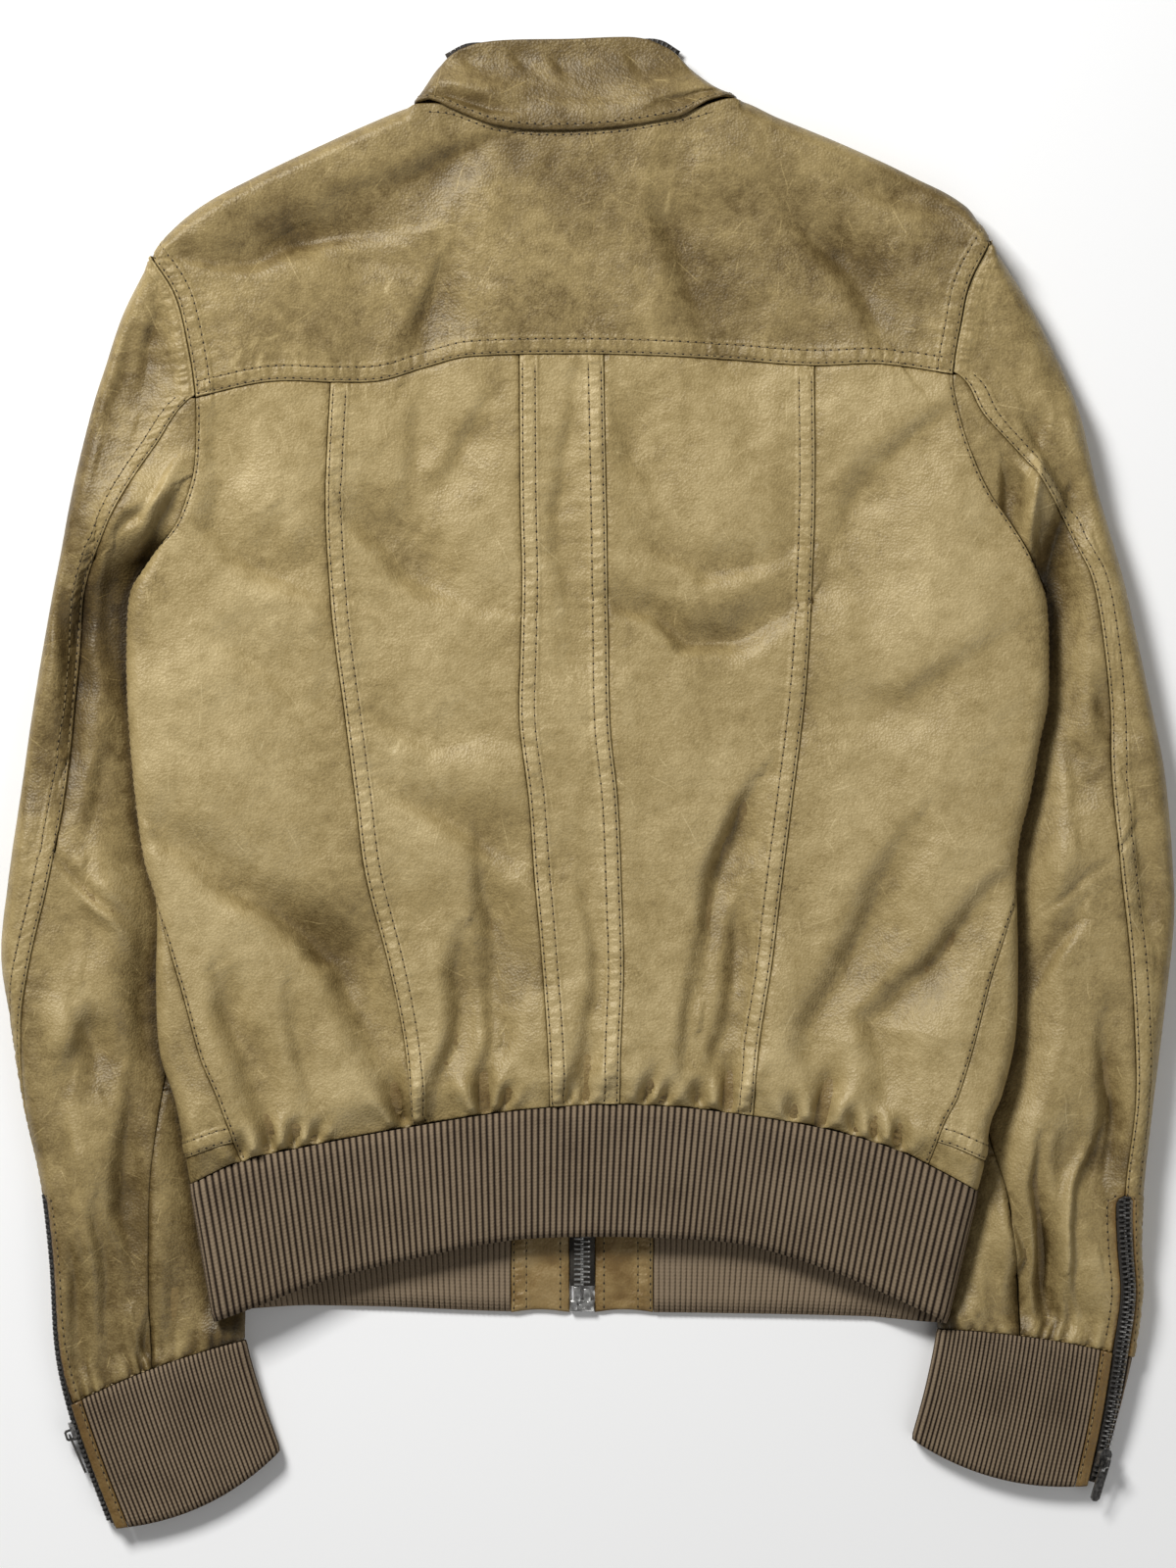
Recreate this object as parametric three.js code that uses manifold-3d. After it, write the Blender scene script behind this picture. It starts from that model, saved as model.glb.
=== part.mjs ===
// Leather bomber jacket laid out flat on its front, back upwards. Millimetres, +Z up.
// +X points to the right of the back as it is seen, +Y to the collar.
// The origin is on the surface that it lies on, under the middle of its outline.
import * as THREE from 'three';
import { mergeVertices } from 'three/addons/utils/BufferGeometryUtils.js';
import Module from 'manifold-3d';

const wasm = await Module();
wasm.setup();

// Walls and seams
const LEATHER = 1.6;
const KNIT = 1.8;
const KNIT_RIDGE = 0.8;
const SEAM = 0.3;
const HEM_RIB_PITCH = 3.2;
const CUFF_RIB_PITCH = 2.5;

// Heights of the layers above the surface
const MIDDLE_HEIGHT = 17;
const SIDE_HEIGHT = 26;
const NECK_RISE = 5;
const BLOUSE = 5;
const TUCKED_HEIGHT = 8.6;
const TUCK_LIFT = 11.2;
const COLLAR_HEIGHT = 15;

// Radii where the layers fold over at the outline
const EDGE_ROLL = 8;
const SHOULDER_ROLL = 9;
const SLEEVE_ROLL = 9;
const TUCKED_ROLL = 4.2;
const COLLAR_ROLL = 6;
const OPEN_ROLL = 0.6;
const COLLAR_LAP = 2.5;
const FRONT_NECK_GAP = 1;

// Centre front and its zip
const ZIP_X = -3;
const ZIP_GAP = 13;
const CHAIN_WIDTH = 6.4;
const TAPE_WIDTH = 12.4;
const chainHalf = CHAIN_WIDTH / 2;
const ZIP_Z = 2.6;
const CHAIN_THICK = 2.2;
const TAPE_THICK = 0.8;
const SLIDER_Y = 300;
const TAB_WIDTH = 30;
const FRONT_HEM_Y = -269.5;
const FRONT_SEAM_Y = -204;
const FRONT_NECK_Y = 317;
const ZIP_LIFT = 7;
const ZIP_BOX = { width: 12.2, length: 12.6, thick: 3.6 };

// Neck corners and the lower ends of the armholes
const NECK_LEFT = -88;
const NECK_RIGHT = 75;
const LEFT_ARMHOLE_END = 128;
const RIGHT_ARMHOLE_END = 118;

// Sleeves: stations of the underarm, the top of the zip and the two ends of the cuff, and the zip's widths
const UNDERARM = 7;
const ZIP_TOP = 14;
const CUFF_SEAM = 17;
const CUFF_END = 19;
const CUFF_GAP = 0.006;
const ZIP_HALF = 4.2;
const CHAIN_PROUD = 0.6;
const TAPE_SUNK = 0.8;
const BINDING = 6;

// Sliders and pull tabs
const SLIDER = { back: -6, front: 3.2, wide: 8, narrow: 6.4, thick: 2.4 };
const BRIDGE = { reach: 2.9, opening: 1.7, clear: 1.1, bar: 1.2, width: 2.2 };
const PULL = { length: 21, width: 5.4, thick: 1.2, eyeWidth: 3.3, eyeEnd: 5.2, rim: 0.55, droop: 5 };
const CHAIN_CLEARANCE = 0.3;

const material = (color, roughness, metalness = 0) =>
  new THREE.MeshStandardMaterial({ color, roughness, metalness });
const TAN = material('#9c8454', 0.5);
const TAN_DARK = material('#7d6338', 0.55);
const BROWN_KNIT = material('#5f503e', 0.95);
const TAPE = material('#6d6250', 0.9);
const GUNMETAL = material('#2b2b2d', 0.35, 0.9);

// Small helpers
const clamp = (x, low, high) => Math.min(Math.max(x, low), high);
const mix = (a, b, t) => a + (b - a) * t;
const smooth = (from, to, x) => {
  const t = clamp((x - from) / (to - from), 0, 1);
  return t * t * (3 - 2 * t);
};
const steps = (from, to, count) =>
  Array.from({ length: count + 1 }, (_, i) => mix(from, to, i / count));

// A smooth curve through [key, value] pairs with rising keys
function track(pairs) {
  const last = pairs.length - 1;
  const slope = (i) => {
    const a = pairs[Math.max(i - 1, 0)];
    const b = pairs[Math.min(i + 1, last)];
    return (b[1] - a[1]) / (b[0] - a[0]);
  };
  return (key) => {
    const k = clamp(key, pairs[0][0], pairs[last][0]);
    let i = 0;
    while (i < last - 1 && k > pairs[i + 1][0]) i += 1;
    const [k0, v0] = pairs[i];
    const [k1, v1] = pairs[i + 1];
    const span = k1 - k0;
    const t = (k - k0) / span;
    const bend = t * (1 - t);
    const straight = (v1 - v0) / span;
    const lean = (slope(i) - straight) * (1 - t) - (slope(i + 1) - straight) * t;
    return mix(v0, v1, t) + bend * span * lean;
  };
}

// The outline of the back: x at a height y, from the hem seam up the armhole to the shoulder tip
const leftSide = track([
  [-274, -190.5], [-203.5, -202.5], [-191, -204.5], [-162, -210], [-137, -218], [-100, -220], [-62, -220],
  [-38, -226.5], [5, -232], [47, -235], [80, -235], [98.5, -233], [108, -227.5], [120, -219],
  [131, -210], [144, -204.5], [158, -200.5], [175, -199.2], [197, -199.5], [224, -203.5],
  [249, -210], [268, -222],
]);
const rightSide = track([
  [-276, 182.5], [-207, 198.5], [-191.5, 202], [-172, 205], [-159, 210.5], [-130, 217.5], [-95, 219],
  [-50, 218.5], [-28.5, 220], [-6, 225.5], [22, 230.5], [41, 234.5], [66, 235], [85, 234.5],
  [98.5, 232.5], [117.5, 224], [133, 214.5], [150, 203], [173.5, 193], [198, 186.5], [208.5, 185.5],
  [233.5, 189.5], [254.5, 194], [275.5, 204.5],
]);

// Seams across the back: y at a place x
const hemSeam = track([
  [-202.5, -203.5], [-177.5, -192], [-141, -184], [-89.5, -174.5], [-45.5, -167.5],
  [0, -163.5], [38, -164], [72.5, -167.5], [118.5, -175], [153, -184.5], [174, -194], [198.5, -207],
]);
const hemEdge = track([
  [-190.5, -274], [-166, -265], [-135.5, -253.5], [-108.5, -246.5], [-64.5, -237], [-36, -232.5],
  [0, -231], [48, -232], [76.5, -234.5], [95.5, -239], [124.5, -248.5], [145.5, -257], [183, -274],
]);
const yokeSeam = track([
  [-199.5, 196.5], [-162, 204.5], [-128, 204.5], [-105, 205.5], [-82, 212.5], [-61, 217.5],
  [0, 219], [60, 217], [115, 213], [150, 213.5], [185.5, 208.3],
]);
const shoulder = track([
  [-222, 268.5], [-214.5, 280], [-196.5, 295], [-169, 310], [-138, 325], [-104.5, 340], [-90, 345.5],
  [-80, 346.5], [-69.5, 345.5], [-60, 342], [-49, 338], [-33, 335.5], [-10, 335], [15, 336.5],
  [35, 339.5], [55, 344], [75, 349], [97, 340], [133, 325], [165.5, 310], [192.5, 295], [204, 279],
]);

// Seams down the back: x at a height y
const outerLeftSeam = track([
  [-178, -89.5], [-134, -93.5], [-95.5, -101], [-46, -113.5], [-7.5, -118.5], [28, -123],
  [77.5, -129.5], [120, -133], [152, -133.5], [206, -131],
]);
const innerLeftSeam = track([
  [-166, -19.5], [-134, -20.5], [-80, -24.5], [-46, -27.5], [-5, -30.5], [31.5, -35], [66, -34.5],
  [104.5, -33.7], [142.5, -34.5], [219, -35],
]);
const innerRightSeam = track([
  [-164, 16.2], [-134, 16.8], [-95.5, 18.2], [-53.5, 17.2], [-8.5, 15.3], [28, 11.5], [75.5, 10.5],
  [142.5, 9.5], [219, 8],
]);
const outerRightSeam = track([
  [-172, 84], [-134, 87], [-92, 93.7], [-46, 99.5], [-8, 104.3], [37.5, 110], [75.5, 113],
  [142.5, 115.7], [214, 115.3],
]);

// How far the side seams lie from the outline, measured over the rolled edge
const leftSideSeam = track([
  [-203.5, 36], [-192, 33], [-166.5, 28], [-132, 24], [-101.5, 17], [-75, 8], [-60, 1], [-50, 0],
]);
const rightSideSeam = track([
  [-207, 36], [-193, 33], [-168.5, 28], [-130, 25], [-97.5, 18], [-71, 9], [-55, 1], [-45, 0],
]);

// Hidden edge of each sleeve where it is tucked under the body: x at a height y
const leftTuck = track([
  [-341, -157.3], [-312, -167.3], [-284, -174.8], [-270, -175], [-218, -177.5], [-138, -178.5],
  [-50, -180], [0, -184], [55, -196], [106, leftSide(106)],
]);
const rightTuck = track([
  [-335, 165.5], [-307, 173], [-278.5, 178.5], [-268, 178.5], [-215, 177.5], [-140, 180], [-50, 184],
  [0, 189], [50, 204], [98, rightSide(98)],
]);

// Soft folds: ridges where the height is positive, troughs where it is negative
const fold = (fromX, fromY, toX, toY, width, height) => (x, y) => {
  const dx = toX - fromX;
  const dy = toY - fromY;
  const length = Math.hypot(dx, dy);
  const along = ((x - fromX) * dx + (y - fromY) * dy) / (length * length);
  const across = ((x - fromX) * dy - (y - fromY) * dx) / length;
  const taper = smooth(-0.1, 0.3, along) * smooth(1.1, 0.7, along);
  return height * taper * Math.exp(-((across / width) ** 2));
};
const BACK_FOLDS = [
  fold(-50, 327, -130, 290, 11, -2.2), fold(-75, 262, -88, 220, 9, -2.4),
  fold(38, 300, 62, 238, 10, -2.2), fold(108, 288, 152, 228, 11, -2.6),
  fold(132, 306, 196, 290, 9, -2.4), fold(-185, 178, -180, 122, 12, -2.4),
  fold(-178, 118, -132, 94, 11, -2.2), fold(-122, 139, -64, 93, 11, -2.8),
  fold(-87, 178, -91, 138, 8, -2), fold(12, 88, 92, 64, 10, -2.6),
  fold(-92, -12, -30, -40, 10, -2.2), fold(-196, -28, -112, -98, 13, -3.4),
  fold(-118, -88, -96, -160, 12, -3.2), fold(-186, -112, -160, -168, 11, -2.8),
  fold(-54, -48, -49, -104, 10, -2.8), fold(-62, -86, -76, -158, 9, 2.4),
  fold(84, -8, 60, -84, 11, -3.2), fold(80, -70, 64, -150, 11, -2.8),
  fold(160, -38, 108, -128, 13, -2.8), fold(214, -58, 150, -150, 14, -2.8),
];
const GATHERS = [
  [-162, 26, 3], [-147, 18, 2.6], [-92.5, 34, 3.2], [-52, 30, 3.4], [-12, 22, 2], [28, 24, 2.4],
  [39, 20, 2.2], [71, 34, 3.2], [118, 36, 3.4], [136, 20, 2.2], [152, 26, 2.8],
];
const GATHER_WIDTH = 6;
const LEFT_SLEEVE_FOLDS = [
  fold(-250, 122, -264, 30, 8, -4), fold(-234, 126, -214, 152, 8, 3), fold(-256, -46, -226, -84, 9, 3),
  fold(-226, -78, -228, -138, 9, -4), fold(-262, -118, -250, -150, 9, -3),
  fold(-240, -150, -238, -250, 9, -3.4), fold(-262, -160, -256, -270, 9, 2.4),
];
const RIGHT_SLEEVE_FOLDS = [
  fold(230, 172, 226, 128, 8, 3.4), fold(240, 140, 236, 96, 8, -4), fold(234, -66, 264, -38, 8, 3),
  fold(238, -48, 268, -84, 8, -3.4), fold(226, -108, 252, -146, 10, -3.6),
  fold(232, -216, 234, -276, 8, -3.6), fold(252, -190, 246, -262, 9, 2.6),
];

const total = (folds, x, y) => folds.reduce((sum, height) => sum + height(x, y), 0);

// Height of the back's outer face
function backHeight(x, y) {
  const aboveHem = Math.max(y - hemSeam(x), 0);
  const sides = smooth(90, 200, Math.abs(x));
  const neck = NECK_RISE * smooth(200, 330, y) * (1 - sides);
  const blouse = BLOUSE * smooth(0, 18, aboveHem) * (1 - smooth(28, 110, aboveHem));
  const gathers = GATHERS.reduce((sum, [place, length, depth]) => {
    const across = (x - place) / GATHER_WIDTH;
    return sum - depth * Math.exp(-across * across) * smooth(length, length * 0.3, aboveHem);
  }, 0);
  return mix(MIDDLE_HEIGHT, SIDE_HEIGHT, sides) + neck + blouse + gathers + total(BACK_FOLDS, x, y);
}

// Height of the front's outer face, which lies flat but for its sides, on the tucked sleeves,
// and its neck, on the slider of the zip
function frontHeight(x, y) {
  const left = smooth(leftTuck(y) + 36, leftTuck(y) + 2, x) * smooth(LEFT_ARMHOLE_END - 4, 108, y);
  const right = smooth(rightTuck(y) - 36, rightTuck(y) - 2, x) * smooth(RIGHT_ARMHOLE_END - 4, 98, y);
  const across = (x - ZIP_X) / 28;
  const slider = ZIP_LIFT * smooth(250, 284, y) * Math.exp(-across * across);
  return TUCK_LIFT * Math.max(left, right) + slider;
}

// Solids

// Fills the strip between two edges that run the same way. Each is a list of vertices with their keys,
// and vertices with like keys are joined, whatever their counts.
function stitch(a, b, triangles) {
  const travelled = (edge, k) => Math.abs(edge[k].key - edge[0].key);
  let i = 0;
  let j = 0;
  while (i < a.length - 1 || j < b.length - 1) {
    if (j === b.length - 1 || (i < a.length - 1 && travelled(a, i + 1) <= travelled(b, j + 1))) {
      triangles.push(a[i].id, b[j].id, a[i + 1].id);
      i += 1;
    } else {
      triangles.push(a[i].id, b[j].id, b[j + 1].id);
      j += 1;
    }
  }
}

// A closed wall between an outer and an inner grid of points, each a list of rows, with their columns
function solidBetween(outer, inner, outerColumns, innerColumns) {
  const points = [];
  const triangles = [];
  const number = (grid) => grid.map((row) => row.map((p) => points.push(p) - 1));
  const fill = (grid, turned) => {
    for (let j = 0; j < grid.length - 1; j += 1) {
      for (let i = 0; i < grid[j].length - 1; i += 1) {
        const [a, b, c, d] = [grid[j][i], grid[j][i + 1], grid[j + 1][i + 1], grid[j + 1][i]];
        triangles.push(...(turned ? [a, c, b, a, d, c] : [a, b, c, a, c, d]));
      }
    }
  };
  const rim = (grid, columns) => {
    const level = (row) => row.map((id, i) => ({ id, key: columns[i] }));
    const upright = (i) => grid.map((row, j) => ({ id: row[i], key: j }));
    return [
      level(grid[0]), upright(columns.length - 1), level(grid[grid.length - 1]).reverse(),
      upright(0).reverse(),
    ];
  };
  const outerIds = number(outer);
  const innerIds = number(inner);
  fill(outerIds, false);
  fill(innerIds, true);
  const innerRim = rim(innerIds, innerColumns);
  rim(outerIds, outerColumns).forEach((side, k) => stitch(side, innerRim[k], triangles));
  let volume = 0;
  for (let k = 0; k < triangles.length; k += 3) {
    const [a, b, c] = triangles.slice(k, k + 3).map((id) => points[id]);
    volume += a.dot(b.clone().cross(c));
  }
  const index = volume > 0 ? triangles : [...triangles].reverse();
  const geometry = new THREE.BufferGeometry();
  geometry.setAttribute('position', new THREE.Float32BufferAttribute(points.flatMap((p) => p.toArray()), 3));
  geometry.setIndex(index);
  geometry.computeVertexNormals();
  return geometry;
}

// The outward unit normal of a face given as point(u, v), where turn is 1 or -1
function normalAt(point, u, v, turn, ranges) {
  const [[u0, u1], [v0, v1]] = ranges;
  const du = (u1 - u0) * 1e-3;
  const dv = (v1 - v0) * 1e-3;
  const alongU = point(Math.min(u + du, u1), v).sub(point(Math.max(u - du, u0), v));
  const alongV = point(u, Math.min(v + dv, v1)).sub(point(u, Math.max(v - dv, v0)));
  return alongU.cross(alongV).normalize().multiplyScalar(turn);
}

// A wall whose outer face is point(u, v) at the listed columns and rows. looks gives a place on it and
// 1 or -1 where it looks up or down. raise(u, v) moves a point outwards, innerRaise moves one inwards.
function wall({ point, columns, rows, thickness, looks, raise, innerColumns = columns, innerRaise }) {
  const ranges = [columns, rows].map((list) => [list[0], list[list.length - 1]]);
  const turn = Math.sign(normalAt(point, looks[0], looks[1], looks[2], ranges).z);
  const face = (us, depth) => rows.map((v) => us.map((u) =>
    point(u, v).addScaledVector(normalAt(point, u, v, turn, ranges), -depth(u, v))));
  const outer = face(columns, (u, v) => (raise ? -raise(u, v) : 0));
  const inner = face(innerColumns, (u, v) => thickness + (innerRaise ? innerRaise(u, v) : 0));
  return solidBetween(outer, inner, columns, innerColumns);
}

const jacket = new THREE.Group();
function add(name, geometry, look) {
  const mesh = new THREE.Mesh(geometry, look);
  mesh.name = name;
  jacket.add(mesh);
  return mesh;
}

// Rolled edges: how far in and how far up a point lies, by its distance over the roll
const quarter = (radius) => (radius * Math.PI) / 2;
const overRoll = (arc, radius) => (arc < quarter(radius)
  ? { inwards: radius * (1 - Math.cos(arc / radius)), rise: Math.sin(arc / radius) }
  : { inwards: arc - quarter(radius) + radius, rise: 1 });

// Back of the body

// Finds the place in a patch between two upright seams and two level ones
function place(u, v, left, right, low, high) {
  let y = mix(-180, 200, v);
  let x = 0;
  for (let pass = 0; pass < 8; pass += 1) {
    x = mix(left(y), right(y), u);
    y = mix(low(x), high(x), v);
  }
  return [x, y];
}

const LEFT = {
  sign: -1, side: leftSide, tuck: leftTuck, sideSeam: leftSideSeam, armholeEnd: LEFT_ARMHOLE_END,
};
const RIGHT = {
  sign: 1, side: rightSide, tuck: rightTuck, sideSeam: rightSideSeam, armholeEnd: RIGHT_ARMHOLE_END,
};
const sideRoll = ({ armholeEnd }, y) => mix(EDGE_ROLL, OPEN_ROLL, smooth(armholeEnd - 22, armholeEnd + 2, y));

// The outer face of the body near one side, by its distance over the rolled edge.
// A distance below zero is on the front.
function bodySide(half, arc, y) {
  const radius = sideRoll(half, y);
  const { inwards, rise } = overRoll(Math.abs(arc), radius);
  const x = half.side(y) - half.sign * inwards;
  const [top, under] = [backHeight(x, y), frontHeight(x, y)];
  const middle = (top + under) / 2;
  const lifted = mix(rise, 1, smooth(EDGE_ROLL, OPEN_ROLL, radius));
  return new THREE.Vector3(x, y, mix(middle, arc >= 0 ? top : under, lifted));
}

const PANEL_ROWS = [
  0, 0.03, 0.06, 0.1, 0.17, 0.26, 0.36, 0.46, 0.56, 0.65, 0.72, 0.77, 0.81, 0.85, 0.9, 0.95, 1,
];
const seamed = (curve, offset) => (key) => curve(key) + offset;

function innerPanel(name, left, right, count) {
  const point = (u, v) => {
    const [x, y] = place(u, v, seamed(left, SEAM / 2), seamed(right, -SEAM / 2), seamed(hemSeam, SEAM / 2),
      seamed(yokeSeam, -SEAM / 2));
    return new THREE.Vector3(x, y, backHeight(x, y));
  };
  const columns = steps(0, 1, count);
  add(name, wall({ point, columns, rows: PANEL_ROWS, thickness: LEATHER, looks: [0.5, 0.5, 1] }), TAN);
}

// The panel between a side seam and the outer seam, which wraps over the rolled edge
function sidePanel(name, half, outerSeam) {
  const point = (u, v) => {
    let y = mix(-180, 200, v);
    let arc = 0;
    for (let pass = 0; pass < 8; pass += 1) {
      const radius = sideRoll(half, y);
      const width = half.sign * (half.side(y) - outerSeam(y));
      arc = mix(half.sideSeam(y), width - radius + quarter(radius) - SEAM / 2, u);
      const x = half.side(y) - half.sign * overRoll(arc, radius).inwards;
      y = mix(hemSeam(x) + SEAM / 2, yokeSeam(x) - SEAM / 2, v);
    }
    return bodySide(half, arc + (SEAM / 2) * (1 - u), y);
  };
  const columns = steps(0, 1, 9).map((t) => mix(t * t, t, 0.5));
  add(name, wall({ point, columns, rows: PANEL_ROWS, thickness: LEATHER, looks: [0.8, 0.5, 1] }), TAN);
  return PANEL_ROWS.map((v) => point(0, v).y);
}

const leftPanelRows = sidePanel('back_side_left', LEFT, outerLeftSeam);
const rightPanelRows = sidePanel('back_side_right', RIGHT, outerRightSeam);
innerPanel('back_inner_left', outerLeftSeam, innerLeftSeam, 8);
innerPanel('back_centre', innerLeftSeam, innerRightSeam, 3);
innerPanel('back_inner_right', innerRightSeam, outerRightSeam, 8);

// Yoke, which folds over the shoulders and is open at the neck
const shoulderRoll = (x) => {
  const neck = smooth(NECK_LEFT - 14, NECK_LEFT, x) * smooth(NECK_RIGHT + 14, NECK_RIGHT, x);
  return mix(SHOULDER_ROLL, OPEN_ROLL, neck);
};

// The outer face of the body near the shoulder line, by its distance over the fold
function bodyShoulder(x, arc) {
  const radius = shoulderRoll(x);
  const { inwards, rise } = overRoll(arc, radius);
  const y = shoulder(x) - inwards;
  const top = backHeight(x, y);
  const lifted = mix(rise, 1, smooth(SHOULDER_ROLL, OPEN_ROLL, radius));
  return new THREE.Vector3(x, y, mix(top / 2, top, lifted));
}

// Columns of the yoke meet those of the panels below it
const yokeStops = [
  [leftSide(196.5), outerLeftSeam(204.5), 7], [outerLeftSeam(204.5), innerLeftSeam(217.5), 8],
  [innerLeftSeam(217.5), innerRightSeam(219), 3], [innerRightSeam(219), outerRightSeam(213), 8],
  [outerRightSeam(213), rightSide(208.3), 7],
];
const yokeColumns = yokeStops.flatMap(([from, to, count], k) => steps(from, to, count).slice(k ? 1 : 0))
  .map((x) => (x - leftSide(196.5)) / (rightSide(208.3) - leftSide(196.5)));
const YOKE_ROWS = [0, 0.2, 0.42, 0.64, 0.82, 0.93, 1];
function yokePoint(u, v) {
  let y = mix(200, 300, v);
  let x = 0;
  let arc = 0;
  for (let pass = 0; pass < 8; pass += 1) {
    x = mix(leftSide(y) + SEAM / 2, rightSide(y) - SEAM / 2, u);
    const radius = shoulderRoll(x);
    const whole = shoulder(x) - yokeSeam(x) - radius + quarter(radius);
    arc = mix(whole - SEAM / 2, SEAM, v);
    y = shoulder(x) - overRoll(arc, radius).inwards;
  }
  return bodyShoulder(x, arc);
}
add('back_yoke', wall({
  point: yokePoint, columns: yokeColumns, rows: YOKE_ROWS, thickness: LEATHER, looks: [0.5, 0.5, 1],
}), TAN);

// Fronts, flat on the surface, from the zip round each rolled side to its side seam
const frontNeck = track([
  [-89, 343], [-60, 330], [-30, 320], [ZIP_X, FRONT_NECK_Y], [25, 320], [50, 331], [76, 346],
]);
const frontShoulder = (x) => (x > NECK_LEFT && x < NECK_RIGHT ? frontNeck(x) : shoulder(x) - 3);
const frontSeam = track([[-203, -203.5], [-150, FRONT_SEAM_Y], [150, FRONT_SEAM_Y], [199, -207]]);
const bandSeam = track([
  [-205, -190.5], [-181.5, -182.5], [-150, -180], [150, -180], [179, -182.5], [203, -192],
]);

// The number that a rising or falling function takes to a value, between two limits
function solve(f, value, from, to) {
  let [low, high] = f(from) < f(to) ? [from, to] : [to, from];
  for (let pass = 0; pass < 40; pass += 1) {
    const middle = (low + high) / 2;
    if (f(middle) < value) low = middle;
    else high = middle;
  }
  return (low + high) / 2;
}

// A front between two levels. Its columns run over the side, along the tucked sleeve, down the slope
// beside it and over the flat to the zip.
function frontPoint(half, low, high) {
  const centre = ZIP_X + (half.sign * ZIP_GAP) / 2;
  return (u, v) => {
    let y = mix(-200, 260, v);
    let arc = 0;
    for (let pass = 0; pass < 10; pass += 1) {
      const radius = sideRoll(half, y);
      const flat = (inwards) => radius - quarter(radius) - inwards;
      const tucked = Math.max(half.sign * (half.side(y) - half.tuck(y)) + 2, 14);
      const stops = [
        half.sideSeam(y) - SEAM / 2, -quarter(radius), flat(tucked), flat(tucked + 36),
        flat(half.sign * (half.side(y) - centre)),
      ];
      const k = Math.min(Math.floor(u), 3);
      arc = mix(stops[k], stops[k + 1], u - k);
      const x = half.side(y) - half.sign * overRoll(Math.abs(arc), radius).inwards;
      y = mix(low(x, arc), high(x, arc), v);
    }
    return bodySide(half, arc, y);
  };
}
const FRONT_COLUMNS = [...steps(0, 1, 5), 2, 2.5, 3, ...steps(3.4, 4, 4)];

// Rows that meet those of the neighbours along the side seam
const matchedRows = (point, edgeRows, margin) => {
  const edge = (v) => point(0, v).y;
  const inside = edgeRows.filter((y) => y > edge(0) + margin && y < edge(1) - margin);
  return [0, ...inside.map((y) => solve(edge, y, 0, 1)), 1];
};
function front(name, half, edgeRows) {
  const point = frontPoint(half, (x) => bandSeam(x) + SEAM / 2, frontShoulder);
  const rows = matchedRows(point, edgeRows, 2.5);
  add(name, wall({ point, columns: FRONT_COLUMNS, rows, thickness: LEATHER, looks: [3.4, 0.3, -1] }), TAN);
}
const leftRows = [...leftPanelRows, ...YOKE_ROWS.slice(1).map((v) => yokePoint(0, v).y)];
const rightRows = [...rightPanelRows, ...YOKE_ROWS.slice(1).map((v) => yokePoint(1, v).y)];
front('front_left', LEFT, leftRows);
front('front_right', RIGHT, rightRows);

function frontBand(name, half, edgeRows) {
  const low = (x, arc) => (arc > 0 ? hemSeam(x) : frontSeam(x)) + SEAM / 2;
  const point = frontPoint(half, low, (x) => bandSeam(x) - SEAM / 2);
  const rows = matchedRows(point, edgeRows, 1);
  add(name, wall({ point, columns: FRONT_COLUMNS, rows, thickness: LEATHER, looks: [3.4, 0.5, -1] }), TAN);
}
frontBand('front_band_left', LEFT, leftRows);
frontBand('front_band_right', RIGHT, rightRows);

// A band that goes round from the left of the zip over the back to its right, such as a collar.
// s runs 0-1 on the left front, 1-2 over the left edge, 2-3 over the back, 3-4 and 4-5 likewise.
function bandPoint({ left, right, back, fore, top, under, roll, openLeft, openRight }) {
  return (s, v) => {
    const sign = s < 2.5 ? -1 : 1;
    const edge = sign < 0 ? left(v) : right(v);
    const t = s < 2.5 ? s : 5 - s;
    let x = mix(left(v) + roll, right(v) - roll, s - 2);
    let rise = 1;
    if (t < 1) {
      x = mix(sign < 0 ? openLeft(v) : openRight(v), edge - sign * roll, t);
    } else if (t < 2) {
      const angle = (t - 1.5) * Math.PI;
      x = edge - sign * roll * (1 - Math.cos(angle));
      rise = Math.abs(Math.sin(angle));
    }
    const onBack = t >= 1.5;
    const lines = onBack ? back : fore;
    const y = mix(lines[0](x), lines[1](x), v);
    const [high, low] = [top(x, y, v), under(x, y)];
    return new THREE.Vector3(x, y, mix((high + low) / 2, onBack ? high : low, rise));
  };
}

// Ribbed hem: ridges stand on its outer face, and on the inner face of its front, which shows
const tabLeft = ZIP_X - ZIP_GAP / 2 - TAB_WIDTH;
const tabRight = ZIP_X + ZIP_GAP / 2 + TAB_WIDTH;
const hemPoint = bandPoint({
  left: (v) => mix(-202.5, -190.5, v),
  right: (v) => mix(198.5, 182.5, v),
  back: [seamed(hemSeam, -SEAM), hemEdge],
  fore: [
    seamed(frontSeam, -SEAM),
    track([
      [-191, -273.5], [-178, -268], [-118, -267.2], [-40, FRONT_HEM_Y - 0.5], [40, FRONT_HEM_Y - 1],
      [143, -272.5], [183, -275],
    ]),
  ],
  top: (x, y, v) => mix(MIDDLE_HEIGHT, SIDE_HEIGHT, smooth(90, 200, Math.abs(x))) - mix(0.6, 2.5, v),
  under: frontHeight,
  roll: EDGE_ROLL,
  openLeft: () => tabLeft - SEAM / 2,
  openRight: () => tabRight + SEAM / 2,
});
const ribCounts = [
  Math.round((202.5 + tabLeft) / HEM_RIB_PITCH), 7, Math.round(372 / HEM_RIB_PITCH), 7,
  Math.round((198.5 - tabRight) / HEM_RIB_PITCH),
];
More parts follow.
